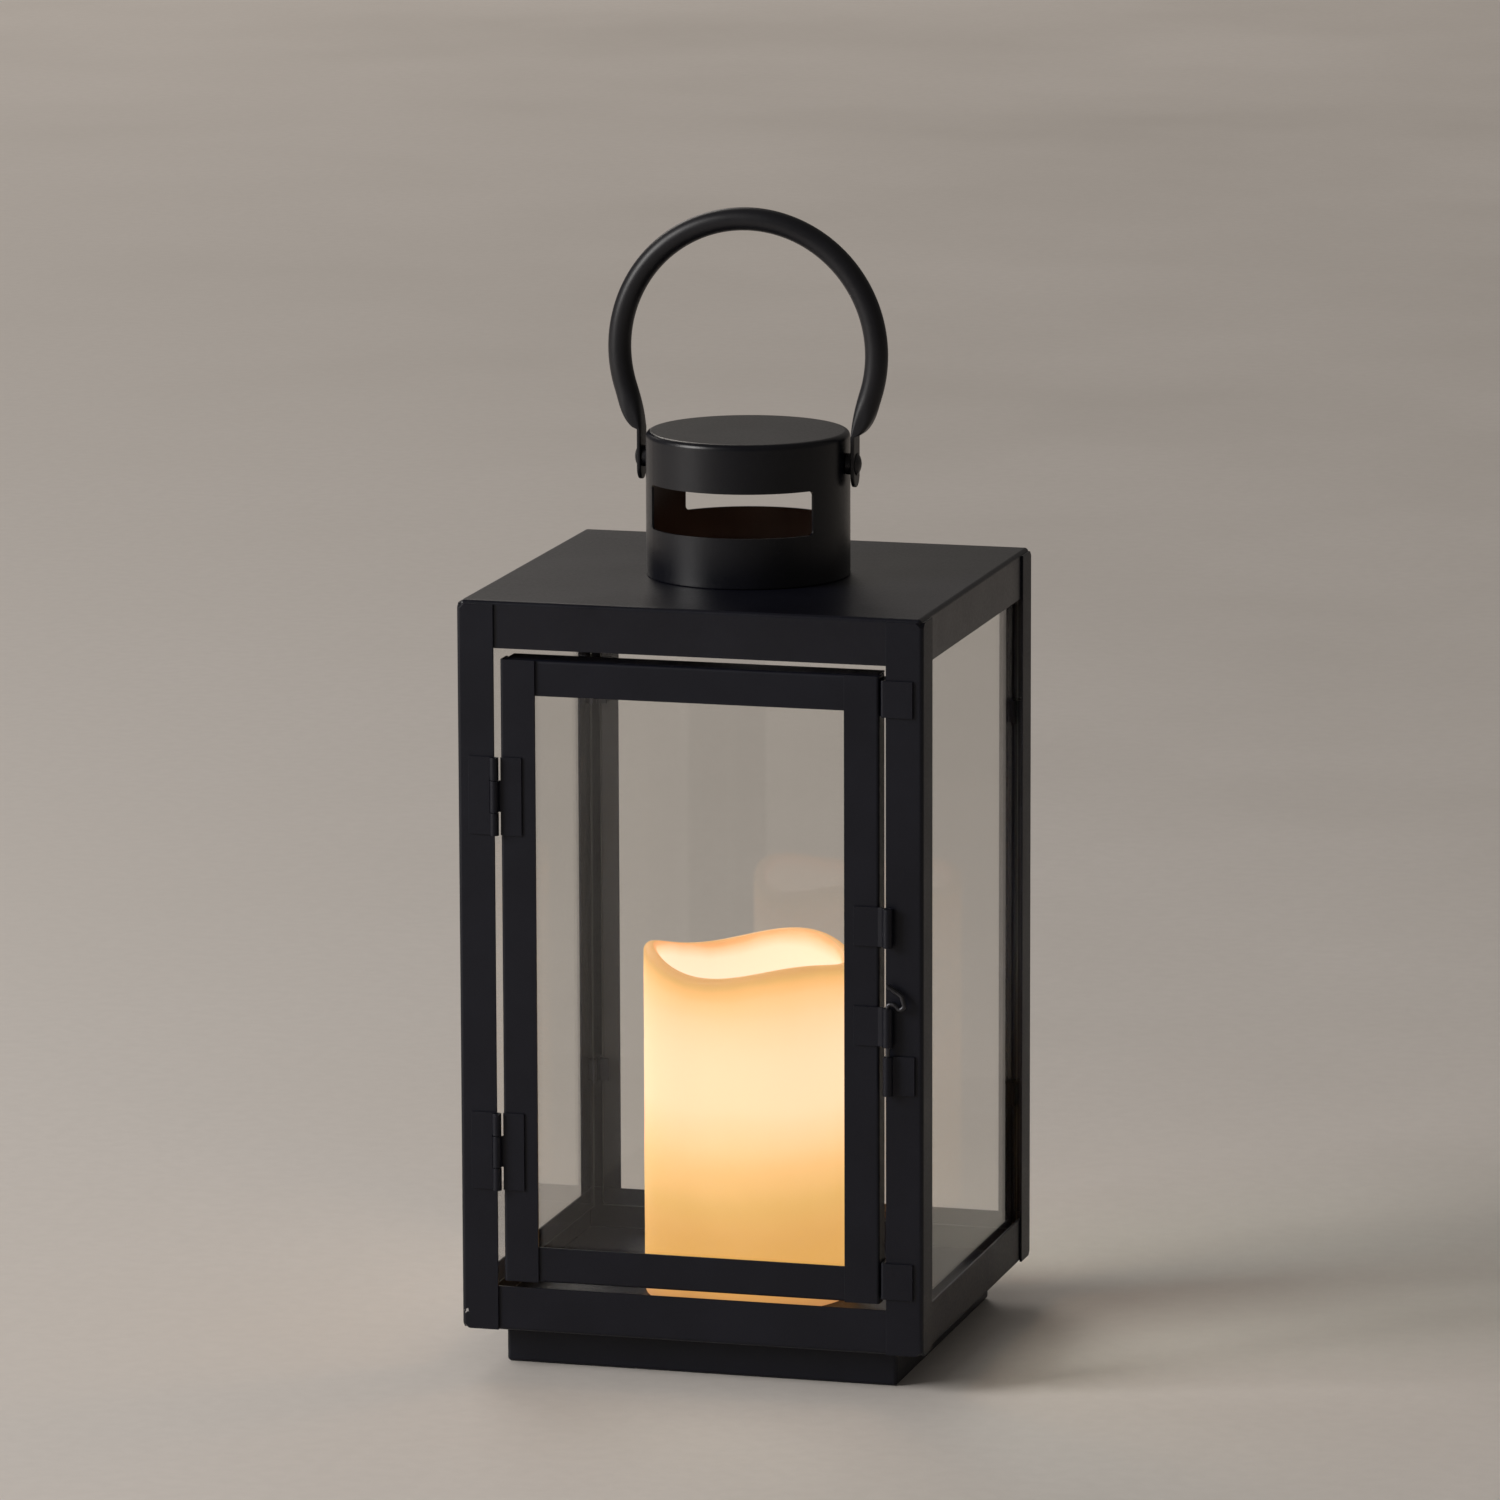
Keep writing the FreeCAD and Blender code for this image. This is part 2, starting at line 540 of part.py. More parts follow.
def make_battery_box():
    """Moulded cup, open at the bottom, with a rib between the two cells."""
    top = BOX_LOW + BOX_HEIGHT
    radius = CAVITY_RADIUS - 0.3
    cup = revolve([(radius, BOX_LOW), (radius, top), (0, top), (0, top - BOX_WALL),
                   (radius - BOX_WALL, top - BOX_WALL), (radius - BOX_WALL, BOX_LOW)])
    rib = block((-0.7, -18, CELL_LEVEL), (0.7, 18, top - BOX_WALL / 2))
    return cup.fuse(rib)


def make_battery(side):
    """AAA cell lying along Y, with its raised cap."""
    x = side * CELL_SPREAD
    half = CELL_LENGTH / 2
    can = cylinder(CELL_RADIUS, (x, -half, CELL_LEVEL), (x, half - 1.0, CELL_LEVEL))
    can = can.makeFillet(0.4, [e for e in can.Edges if isinstance(e.Curve, Part.Circle)])
    cap = cylinder(1.9, (x, half - 1.5, CELL_LEVEL), (x, half, CELL_LEVEL))
    return can.fuse(cap)


def make_battery_contacts():
    """Spring plates at both ends of both cells."""
    end = CELL_LENGTH / 2 + 0.1
    plates = []
    for x in (-CELL_SPREAD, CELL_SPREAD):
        for y in (-end - 0.5, end):
            plates.append(block((x - 3.5, y, CELL_LEVEL - 4), (x + 3.5, y + 0.5, CELL_LEVEL + 4)))
    return plates


def make_battery_cover():
    """Snap-in disc under the candle, with a slot for the switch."""
    disc = cylinder(CAVITY_RADIUS - 0.3, (0, 0, COVER_LOW), (0, 0, BOX_LOW))
    half_slot = (SWITCH_KNOB_LENGTH + SWITCH_TRAVEL) / 2 + 0.5
    slot = block((SWITCH_X - 2.2, -half_slot, COVER_LOW - 1), (SWITCH_X + 2.2, half_slot, BOX_LOW + 1))
    notch = block((-4, 25.5, COVER_LOW - 1), (4, 40, COVER_LOW + 0.8))
    return disc.cut(slot).cut(notch)


def make_switch_body():
    """Slide switch above the cover, with a track for the knob's foot."""
    body = block((SWITCH_X - 3.4, -7, BOX_LOW + 0.1), (SWITCH_X + 3.4, 7, BOX_LOW + 4.6))
    half_track = (SWITCH_KNOB_LENGTH + SWITCH_TRAVEL) / 2 + 0.5
    track = block((SWITCH_X - 2.2, -half_track, BOX_LOW - 1), (SWITCH_X + 2.2, half_track, BOX_LOW + 2.6))
    return body.cut(track)


def make_switch_knob():
    """Knob at the 'on' end of its travel, just inside the candle's underside."""
    low = -(SWITCH_KNOB_LENGTH + SWITCH_TRAVEL) / 2
    knob = block((SWITCH_X - 1.8, low, COVER_LOW + 0.2),
                 (SWITCH_X + 1.8, low + SWITCH_KNOB_LENGTH, BOX_LOW + 2.3))
    grooves = [block((SWITCH_X - 3, low + y, COVER_LOW), (SWITCH_X + 3, low + y + 0.5, COVER_LOW + 0.6))
               for y in (0.9, 1.75, 2.6)]
    return knob.cut(Part.makeCompound(grooves))


# ---- Write every node ---------------------------------------------------------------
save("plinth", make_plinth())
save("base_tray", make_base_tray())
save("roof_pan", make_roof_pan())

front_right = make_front_right_post()
front_left = mirrored_x(front_right)
save("post_front_right", front_right)
save("post_front_left", front_left)
save("post_rear_right", front_right.mirror(Vector(0, 0, 0), Vector(0, 1, 0)))
save("post_rear_left", front_left.mirror(Vector(0, 0, 0), Vector(0, 1, 0)))

side_outer = SKIN_W - SHEET - PANE_GAP
rear_outer = SKIN_D - SHEET - PANE_GAP
side_pane = pane(PANE_HALF_SIDE, side_outer, PANE_BOTTOM, PANE_TOP)
side_clips = clips_for(PANE_HALF_SIDE, side_outer, SKIN_W)
save("pane_left", turned(side_pane, 90))
save("pane_right", turned(side_pane, -90))
save("pane_rear", pane(PANE_HALF_REAR, rear_outer, PANE_BOTTOM, PANE_TOP))
save("pane_clips", [turned(c, 90) for c in side_clips] + [turned(c, -90) for c in side_clips]
     + clips_for(PANE_HALF_REAR, rear_outer, SKIN_D))

right_stile = make_right_stile()
save("door_stile_right", right_stile)
save("door_stile_left", mirrored_x(right_stile))
save("door_rail_top", make_rail(DOOR_TOP, -1))
save("door_rail_bottom", make_rail(DOOR_BOTTOM, 1))
door_pane = pane(DOOR_PANE_HALF, -DOOR_PANE_OUTER, DOOR_BOTTOM + 8, DOOR_TOP - 8)
save("door_pane", turned(door_pane, 180))
save("door_pane_clips", [turned(c, 180) for c in clips_for(DOOR_PANE_HALF, -DOOR_PANE_OUTER, HALF_D - SHEET)])

for place, level in zip(("upper", "lower"), HINGE_LEVELS):
    post_leaf, door_leaf, hinge_pin = hinge_parts(level)
    save("hinge_leaf_post_" + place, post_leaf)
    save("hinge_leaf_door_" + place, door_leaf)
    save("hinge_pin_" + place, hinge_pin)

for place, low in zip(("upper", "lower"), STOP_BOTTOMS):
    save("door_stop_" + place, make_door_stop(low))
save("latch_guide_upper", make_latch_guide(LATCH_UPPER))
save("latch_guide_lower", make_latch_guide(LATCH_LOWER))
save("latch_keeper", make_latch_keeper())
save("latch_bolt", make_latch_bolt())

save("chimney", make_chimney())
right_rivet = make_right_rivet()
right_washer = make_right_washer()
save("handle_rivets", [right_rivet, mirrored_x(right_rivet)])
save("handle_washers", [right_washer, mirrored_x(right_washer)])
save("ring_handle", make_ring_handle())

save("candle_wax", make_candle_wax())
save("light_stem", make_light_stem())
save("led", make_led())
save("circuit_board", make_circuit_board())
save("battery_box", make_battery_box())
save("battery_left", make_battery(-1))
save("battery_right", make_battery(1))
save("battery_contacts", make_battery_contacts())
save("battery_cover", make_battery_cover())
save("switch_body", make_switch_body())
save("switch_knob", make_switch_knob())
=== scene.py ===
import math

import bmesh
import bpy
from mathutils import Matrix, Vector, noise


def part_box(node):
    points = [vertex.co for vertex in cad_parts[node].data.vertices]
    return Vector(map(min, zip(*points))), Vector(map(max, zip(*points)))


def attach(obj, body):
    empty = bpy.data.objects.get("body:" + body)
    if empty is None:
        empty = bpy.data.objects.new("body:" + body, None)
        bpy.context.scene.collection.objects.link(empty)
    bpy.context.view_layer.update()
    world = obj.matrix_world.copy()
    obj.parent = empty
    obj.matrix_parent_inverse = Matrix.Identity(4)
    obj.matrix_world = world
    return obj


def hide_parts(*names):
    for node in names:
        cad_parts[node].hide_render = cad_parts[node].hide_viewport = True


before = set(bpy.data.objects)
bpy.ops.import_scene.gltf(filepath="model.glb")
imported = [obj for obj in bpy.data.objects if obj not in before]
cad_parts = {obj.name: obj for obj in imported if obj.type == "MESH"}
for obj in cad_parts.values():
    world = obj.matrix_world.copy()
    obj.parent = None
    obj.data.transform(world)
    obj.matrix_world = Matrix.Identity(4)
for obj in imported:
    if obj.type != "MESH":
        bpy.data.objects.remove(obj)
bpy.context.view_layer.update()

# Candle lantern of black powder-coated sheet metal, +Z up, the door on the -Y side.
# Lengths are in millimetres; mesh_object turns them into metres.
MM = 0.001
SHEET = 0.8                 # thickness of the folded sheet
FOLD = 1.0                  # radius of a fold, to the middle of the sheet
DOOR_FOLD = 0.7             # the same, on the narrow strips of the door
PAN_BEND = 1.4              # outside radius of the folds of the roof, tray and plinth
EDGE = 0.13                 # rounding of a cut edge
scene = bpy.context.scene


# ---- Shape helpers ------------------------------------------------------------------
def low(node):
    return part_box(node)[0] / MM


def high(node):
    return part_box(node)[1] / MM


def linked_object(name, bm):
    """Object in the scene, made from a mesh in metres."""
    mesh = bpy.data.meshes.new(name)
    bm.to_mesh(mesh)
    bm.free()
    obj = bpy.data.objects.new(name, mesh)
    scene.collection.objects.link(obj)
    return obj


def mesh_object(name, bm, closed=True):
    """Object from a mesh in millimetres; the normals of an open surface must already point outwards."""
    if closed:
        bmesh.ops.recalc_face_normals(bm, faces=bm.faces)
    bmesh.ops.scale(bm, vec=(MM, MM, MM), verts=bm.verts)
    return linked_object(name, bm)


def freeze(obj):
    """Replace an object's mesh by what its modifiers make of it."""
    graph = bpy.context.evaluated_depsgraph_get()
    final = bpy.data.meshes.new_from_object(obj.evaluated_get(graph))
    old = obj.data
    obj.modifiers.clear()
    obj.data = final
    bpy.data.meshes.remove(old)


def cut(obj, tool):
    """Take the tool's mesh away from the object."""
    step = obj.modifiers.new("cut", "BOOLEAN")
    step.operation = "DIFFERENCE"
    step.solver = "EXACT"
    step.object = tool
    freeze(obj)
    bpy.data.objects.remove(tool)


def thicken(obj):
    """Give an open surface the thickness of the sheet, inwards."""
    step = obj.modifiers.new("sheet", "SOLIDIFY")
    step.thickness = SHEET * MM
    step.offset = -1
    step.use_even_offset = True
    freeze(obj)


def finish_edges(obj, width=EDGE, angle=38):
    """Round the edges sharper than an angle, give them the second material, and keep flat faces flat."""
    obj.data.shade_smooth()
    if width:
        bevel = obj.modifiers.new("edge", "BEVEL")
        bevel.width = width * MM
        bevel.segments = 2
        bevel.limit_method = "ANGLE"
        bevel.angle_limit = math.radians(angle)
        bevel.material = 1
    weighted = obj.modifiers.new("normals", "WEIGHTED_NORMAL")
    weighted.weight = 100
    freeze(obj)


def piece(obj, body, nodes, materials):
    """Give a piece its materials, its body, and the CAD nodes and finish that it stands for."""
    for i, material in enumerate(materials):
        if i < len(obj.data.materials):
            obj.data.materials[i] = material
        else:
            obj.data.materials.append(material)
    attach(obj, body)
    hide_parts(*nodes)


def arc(centre, radius, start, end, steps):
    """Points of an arc in a plane, angles in degrees, both ends included."""
    angles = [math.radians(start + (end - start) * i / steps) for i in range(steps + 1)]
    return [Vector((centre[0] + radius * math.cos(a), centre[1] + radius * math.sin(a), 0)) for a in angles]


def bent_line(points, radius, steps=6):
    """Straight runs joined by arcs of one radius."""
    points = [Vector(p).to_3d() for p in points]
    line = [points[0]]
    for before, corner, after in zip(points, points[1:], points[2:]):
        back = (before - corner).normalized()
        ahead = (after - corner).normalized()
        half = back.angle(ahead) / 2
        if half > math.radians(89):
            line.append(corner)
            continue
        run = min(radius / math.tan(half), (before - corner).length * 0.49, (after - corner).length * 0.49)
        centre = corner + (back + ahead).normalized() * (run / math.cos(half))
        first = corner + back * run - centre
        last = corner + ahead * run - centre
        axis = first.cross(last)
        angle = first.angle(last)
        for i in range(steps + 1):
            line.append(centre + Matrix.Rotation(angle * i / steps, 3, axis) @ first)
    line.append(points[-1])
    return line


def strip_outline(line, thickness=SHEET):
    """Closed outline of a strip with a constant thickness along its middle line."""
    left, right = [], []
    last = len(line) - 1
    for i, point in enumerate(line):
        along = (line[min(i + 1, last)] - line[max(i - 1, 0)]).normalized()
        side = Vector((-along.y, along.x, 0)) * (thickness / 2)
        left.append(point + side)
        right.append(point - side)
    return left + right[::-1]


def extrude(bm, outline, start, end, along_x=False):
    """Add a solid from an outline in the XY plane (or the YZ plane) between two levels."""
    def at(p, level):
        return bm.verts.new((level, p[0], p[1]) if along_x else (p[0], p[1], level))
    near = [at(p, start) for p in outline]
    far = [at(p, end) for p in outline]
    bm.faces.new(near[::-1])
    bm.faces.new(far)
    join_rings(bm, near, far)
    return near + far


def join_rings(bm, one, two):
    """Faces between two closed loops of equal length, or a fan where one is a single point."""
    count = max(len(one), len(two))
    for i in range(count):
        j = (i + 1) % count
        corners = [one[i % len(one)], one[j % len(one)], two[j % len(two)], two[i % len(two)]]
        face = [v for k, v in enumerate(corners) if v not in corners[:k]]
        if len(face) > 2:
            bm.faces.new(face)


def box_mesh(bm, corner_low, corner_high):
    """Add a box between two corners."""
    centre = (Vector(corner_low) + Vector(corner_high)) / 2
    size = Vector(corner_high) - Vector(corner_low)
    for v in bmesh.ops.create_cube(bm, size=1)["verts"]:
        v.co = v.co * size + centre


def revolve(bm, profile, segments, closed=True, wave=None):
    """Add a surface of revolution about Z from (radius, height) points; wave may move each point."""
    rings = []
    for radius, height in profile:
        count = segments if radius > 1e-6 else 1
        ring = []
        for i in range(count):
            a = 2 * math.pi * i / segments
            r, z = wave(radius, height, a) if wave else (radius, height)
            ring.append(bm.verts.new((r * math.cos(a), r * math.sin(a), z)))
        rings.append(ring)
    for one, two in zip(rings, rings[1:]):
        join_rings(bm, one, two)
    if closed:
        join_rings(bm, rings[-1], rings[0])
    return [v for ring in rings for v in ring]


def rounded(points, radii, steps=5):
    """Closed profile with each corner rounded by its own radius; 0 keeps the corner sharp."""
    outline = []
    count = len(points)
    for i, radius in enumerate(radii):
        if radius:
            corner = bent_line([points[i - 1], points[i], points[(i + 1) % count]], radius, steps)[1:-1]
            outline += [p.xy for p in corner]
        else:
            outline.append(Vector(points[i]))
    return outline


def stand(verts, x, y):
    """Move vertices made about the Z axis to a place on the ground plan."""
    for v in verts:
        v.co += Vector((x, y, 0))


def lay_along_x(verts, side, level):
    """Turn vertices made about the Z axis so that their axis points along +X or -X at a height."""
    for v in verts:
        v.co = Vector((side * v.co.z, v.co.y, level - v.co.x))


# ---- Materials ----------------------------------------------------------------------
class Nodes:
    """A new material's node tree, with short calls for the nodes used here."""

    def __init__(self, name):
        self.material = bpy.data.materials.new(name)
        self.material.use_nodes = True
        self.tree = self.material.node_tree
        self.tree.nodes.clear()
        self.output = self.add("ShaderNodeOutputMaterial")
        self.place = self.add("ShaderNodeTexCoord").outputs["Object"]

    def add(self, kind, **values):
        node = self.tree.nodes.new(kind)
        for key, value in values.items():
            setattr(node, key, value)
        return node

    def link(self, source, target):
        self.tree.links.new(source, target)

    def shader(self, **inputs):
        node = self.add("ShaderNodeBsdfPrincipled")
        for key, value in inputs.items():
            node.inputs[key.replace("_", " ")].default_value = value
        return node

    def noise(self, scale, detail=2.0, roughness=0.5, stretch=None):
        """Noise value between 0 and 1, in object space, scale in repeats per metre."""
        node = self.add("ShaderNodeTexNoise")
        node.inputs["Scale"].default_value = scale
        node.inputs["Detail"].default_value = detail
        node.inputs["Roughness"].default_value = roughness
        source = self.place
        if stretch:
            mapping = self.add("ShaderNodeMapping")
            mapping.inputs["Scale"].default_value = stretch
            self.link(self.place, mapping.inputs["Vector"])
            source = mapping.outputs["Vector"]
        self.link(source, node.inputs["Vector"])
        return node.outputs["Fac"]

    def ramp(self, source, stops):
        """Smooth colour ramp; each stop is a place and a colour."""
        node = self.add("ShaderNodeValToRGB")
        node.color_ramp.interpolation = "CARDINAL"
        elements = node.color_ramp.elements
        while len(elements) < len(stops):
            elements.new(0.5)
        for element, (place, colour) in zip(elements, stops):
            element.position = place
            element.color = (*colour, 1)
        self.link(source, node.inputs["Fac"])
        return node.outputs["Color"]

    def range(self, source, start, end, out_start, out_end):
        """Carry a value from one range to another, clamped to the second."""
        node = self.add("ShaderNodeMapRange")
        limits = {"From Min": start, "From Max": end, "To Min": out_start, "To Max": out_end}
        for key, value in limits.items():
            node.inputs[key].default_value = value
        self.link(source, node.inputs["Value"])
        return node.outputs["Result"]

    def mix(self, factor, one, two):
        """Mix of two colours; each argument is a socket or a constant."""
        node = self.add("ShaderNodeMix", data_type="RGBA")
        for value, socket in ((factor, node.inputs[0]), (one, node.inputs[6]), (two, node.inputs[7])):
            if isinstance(value, bpy.types.NodeSocket):
                self.link(value, socket)
            elif isinstance(value, tuple):
                socket.default_value = (*value, 1)
            else:
                socket.default_value = value
        return node.outputs[2]

    def bumps(self, *layers):
        """Bump from several height sources; each layer is (source, depth in metres, strength)."""
        normal = None
        for source, distance, strength in layers:
            node = self.add("ShaderNodeBump")
            node.inputs["Distance"].default_value = distance
            node.inputs["Strength"].default_value = strength
            self.link(source, node.inputs["Height"])
            if normal is not None:
                self.link(normal, node.inputs["Normal"])
            normal = node.outputs["Normal"]
        return normal

    def done(self, shader):
        self.link(shader.outputs[0], self.output.inputs["Surface"])
        return self.material


def powder_coat(name, dark, light, rough, grain=0.5, shine=0.28, chip=None):
    """Satin black powder coat: fine grain, slow waviness of the sheet, patchy sheen, dust.

    chip is the place in metres of one small flake knocked out of the coat.
    """
    n = Nodes(name)
    shader = n.shader(IOR=1.5, Specular_IOR_Level=shine)
    cloud = n.noise(38, 4, 0.6)
    speck = n.noise(900, 2)
    base = n.mix(n.range(cloud, 0.35, 0.7, 0, 1), dark, light)
    dust = n.range(n.noise(2600, 1), 0.70, 0.78, 0, 0.10)
    coat = n.mix(dust, base, (0.16, 0.155, 0.15))
    if chip:
        away = n.add("ShaderNodeVectorMath", operation="DISTANCE")
        n.link(n.place, away.inputs[0])
        away.inputs[1].default_value = chip
        ragged = n.add("ShaderNodeMath", operation="MULTIPLY_ADD")
        n.link(n.noise(1100, 2), ragged.inputs[0])
        ragged.inputs[1].default_value = 0.0040
        n.link(away.outputs["Value"], ragged.inputs[2])
        coat = n.mix(n.range(ragged.outputs[0], 0.0022, 0.0025, 1, 0), coat, (0.45, 0.44, 0.43))
    n.link(coat, shader.inputs["Base Color"])
    sheen = n.range(n.mix(0.5, cloud, speck), 0.3, 0.7, rough - 0.05, rough + 0.06)
    n.link(sheen, shader.inputs["Roughness"])
    layers = ((n.noise(9, 2), 0.9 * MM, 0.25), (n.noise(1500, 3, 0.6), 0.05 * MM, grain))
    n.link(n.bumps(*layers), shader.inputs["Normal"])
    return n.done(shader)


def coat_edge(name):
    """The same coat over a cut edge: rubbed smoother, rare chips, and a lighter tone that is partly wear and
    partly a painted highlight along the edge.
    """
    n = Nodes(name)
    shader = n.shader(IOR=1.5)
    rub_and_highlight = n.range(n.noise(220, 4, 0.65), 0.45, 0.75, 0, 1)
    # Painted highlight: the edge tone runs from the coat's black up to a lighter grey, standing in for light
    # caught by the edges as well as for rubbed wear.
    edge_tone_with_highlight = n.mix(rub_and_highlight, (0.020, 0.021, 0.024), (0.060, 0.060, 0.063))
    chip = n.range(n.noise(420, 3, 0.7), 0.735, 0.76, 0, 1)
    n.link(n.mix(chip, edge_tone_with_highlight, (0.42, 0.41, 0.40)), shader.inputs["Base Color"])
    n.link(n.range(rub_and_highlight, 0, 1, 0.42, 0.30), shader.inputs["Roughness"])
    n.link(n.bumps((n.noise(1300, 2), 0.05 * MM, 0.4)), shader.inputs["Normal"])
    return n.done(shader)


def drawn_steel(name, colour, rough):
    """Blackened or bare steel with fine drawing lines along Z."""
    n = Nodes(name)
    shader = n.shader(Metallic=1.0)
    lines = n.noise(700, 3, 0.6, stretch=(1, 1, 0.05))
    tint = tuple(c * 1.6 for c in colour)
    n.link(n.mix(n.range(lines, 0.35, 0.65, 0, 1), colour, tint), shader.inputs["Base Color"])
    n.link(n.range(n.noise(160, 3), 0.3, 0.7, rough - 0.06, rough + 0.08), shader.inputs["Roughness"])
    n.link(n.bumps((lines, 0.03 * MM, 0.3)), shader.inputs["Normal"])
    return n.done(shader)


def clear_glass(name, tint, rough_low, rough_high):
    """Clear float glass with faint smears; light passes it without a caustic."""
    n = Nodes(name)
    shader = n.shader(IOR=1.42, Transmission_Weight=1.0)
    smear = n.range(n.noise(14, 5, 0.65, stretch=(1, 1, 0.5)), 0.4, 0.75, rough_low, rough_high)
    n.link(n.mix(n.noise(20, 2), tint, tuple(min(1, t * 1.02) for t in tint)), shader.inputs["Base Color"])
    n.link(smear, shader.inputs["Roughness"])
    through = n.add("ShaderNodeBsdfTransparent")
    through.inputs["Color"].default_value = (0.93, 0.95, 0.94, 1)
    path = n.add("ShaderNodeLightPath")
    both = n.add("ShaderNodeMixShader")
    n.link(path.outputs["Is Shadow Ray"], both.inputs[0])
    n.link(shader.outputs[0], both.inputs[1])
    n.link(through.outputs[0], both.inputs[2])
    return n.done(both)


def ground_glass(name):
    """Ground edge of a pane: frosted, with a near-black green that is painted shade, standing in for how dark
    and green the edge looks through the width of the glass.
    """
    n = Nodes(name)
    shader = n.shader(IOR=1.5, Roughness=0.5)
    # Painted shade: the base colour is kept near black and green.
    n.link(n.mix(n.noise(300, 3), (0.012, 0.015, 0.013), (0.028, 0.034, 0.029)), shader.inputs["Base Color"])
    n.link(n.bumps((n.noise(2200, 2), 0.08 * MM, 0.5)), shader.inputs["Normal"])
    return n.done(shader)


WAX_BASE, WAX_TOP = 0.0145, 0.132           # foot and mean rim of the pillar, in metres
WAX_HEIGHT = "straight_height"              # height of each wax vertex before the rim was waved, in metres
OUTER_GLOW = [(0.0, (0.40, 0.18, 0.065)), (0.10, (0.62, 0.32, 0.08)), (0.23, (0.68, 0.36, 0.10)),
              (0.335, (0.76, 0.435, 0.14)), (0.45, (1.0, 0.54, 0.232)), (0.57, (1.5, 0.65, 0.37)),
              (0.65, (1.6, 0.68, 0.41)), (0.78, (1.6, 0.655, 0.385)), (0.87, (1.3, 0.595, 0.31)),
              (0.93, (1.0, 0.52, 0.22)), (0.97, (0.76, 0.42, 0.14)), (1.0, (0.60, 0.32, 0.12))]
HOLLOW_GLOW = [(0.70, (1.7, 0.70, 0.49)), (0.95, (1.7, 0.69, 0.48)), (0.985, (1.0, 0.46, 0.23)),
               (1.0, (0.72, 0.33, 0.12))]


def lit_wax(name, glow):
    """Ivory wax lit from inside; glow gives the colour of its light from the foot, 0, to the rim, 1."""
    n = Nodes(name)
    shader = n.shader(IOR=1.44, Specular_IOR_Level=0.2, Subsurface_Weight=0.35, Subsurface_Scale=0.012)
    shader.inputs["Subsurface Radius"].default_value = (1.0, 0.55, 0.25)
    cloud = n.noise(30, 3, 0.5)
    ivory = n.mix(n.range(cloud, 0.3, 0.7, 0, 1), (0.12, 0.081, 0.042), (0.15, 0.103, 0.056))
    n.link(ivory, shader.inputs["Base Color"])
    straight = n.add("ShaderNodeAttribute", attribute_name=WAX_HEIGHT)
    wobble = n.range(cloud, 0.3, 0.7, -0.0012, 0.0012)
    height = n.add("ShaderNodeMath", operation="ADD")
    n.link(straight.outputs["Fac"], height.inputs[0])
    n.link(wobble, height.inputs[1])
    level = n.range(height.outputs[0], WAX_BASE, WAX_TOP, 0, 1)
    n.link(n.ramp(level, glow), shader.inputs["Emission Color"])
    shader.inputs["Emission Strength"].default_value = 1.25
    n.link(n.range(n.noise(60, 3), 0.3, 0.7, 0.36, 0.5), shader.inputs["Roughness"])
    layers = ((n.noise(28, 3), 0.8 * MM, 0.2), (n.noise(700, 3), 0.04 * MM, 0.25))
    n.link(n.bumps(*layers), shader.inputs["Normal"])
    return n.done(shader)


def glowing(name, colour, strength, rough=0.35):
    """Frosted plastic or a lamp, lit from inside."""
    n = Nodes(name)
    shader = n.shader(IOR=1.46)
    tone = n.mix(n.noise(120, 3), colour, tuple(c * 0.85 for c in colour))
    n.link(tone, shader.inputs["Base Color"])
    n.link(tone, shader.inputs["Emission Color"])
    shader.inputs["Emission Strength"].default_value = strength
    n.link(n.range(n.noise(400, 2), 0.3, 0.7, rough - 0.08, rough + 0.08), shader.inputs["Roughness"])
    return n.done(shader)


def moulded(name, colour, rough):
    """Moulded plastic with a fine spark grain."""
    n = Nodes(name)
    shader = n.shader(IOR=1.46)
    tone = n.mix(n.range(n.noise(60, 3), 0.3, 0.7, 0, 1), colour, tuple(c * 0.86 for c in colour))
    n.link(tone, shader.inputs["Base Color"])
    n.link(n.range(n.noise(300, 2), 0.3, 0.7, rough - 0.06, rough + 0.08), shader.inputs["Roughness"])
    n.link(n.bumps((n.noise(1400, 2), 0.06 * MM, 0.3)), shader.inputs["Normal"])
    return n.done(shader)


# The handle's black is lighter and the chimney's darker than the body's: painted light and shade on copies of
# one coat.
BODY_BLACK = ((0.0024, 0.0029, 0.0076), (0.0038, 0.0044, 0.0102))
ROOF_BLACK = ((0.0030, 0.0034, 0.0082), (0.0048, 0.0053, 0.0110))
CHIMNEY_BLACK_PAINTED_SHADE = ((0.0018, 0.0022, 0.0050), (0.0030, 0.0035, 0.0068))
HANDLE_BLACK_PAINTED_LIGHT = ((0.0080, 0.0080, 0.0105), (0.0110, 0.0110, 0.0140))
# Brown for the chimney's inside: painted warm candle light, lighter and redder than the black coat there.
CANDLELIT_BROWN = ((0.0150, 0.0078, 0.0050), (0.0210, 0.0108, 0.0070))
COAT = powder_coat("powder_coat", *BODY_BLACK, 0.45)
COAT_CHIPPED = powder_coat("powder_coat_chipped", *BODY_BLACK, 0.45, chip=(-0.0785, -0.0750, 0.0195))
COAT_ROOF = powder_coat("powder_coat_roof", *ROOF_BLACK, 0.34, shine=0.345)
COAT_CHIMNEY = powder_coat("powder_coat_chimney", *CHIMNEY_BLACK_PAINTED_SHADE, 0.32, grain=0.4, shine=0.38)
COAT_HANDLE = powder_coat("powder_coat_handle", *HANDLE_BLACK_PAINTED_LIGHT, 0.38, grain=0.4, shine=0.32)
COAT_INSIDE_CANDLELIT = powder_coat("powder_coat_inside", *CANDLELIT_BROWN, 0.50, grain=0.4)
COAT_EDGE = coat_edge("powder_coat_edge")
WIRE = drawn_steel("latch_wire_steel", (0.05, 0.05, 0.055), 0.34)
WIRE_END = drawn_steel("bright_cut_steel", (0.62, 0.61, 0.60), 0.22)
PIN = drawn_steel("pin_steel", (0.045, 0.045, 0.05), 0.36)
GLASS = clear_glass("pane_glass", (0.925, 0.92, 0.905), 0.0, 0.012)
GLASS_EDGE = ground_glass("pane_ground_edge")
METAL = [COAT, COAT_EDGE]


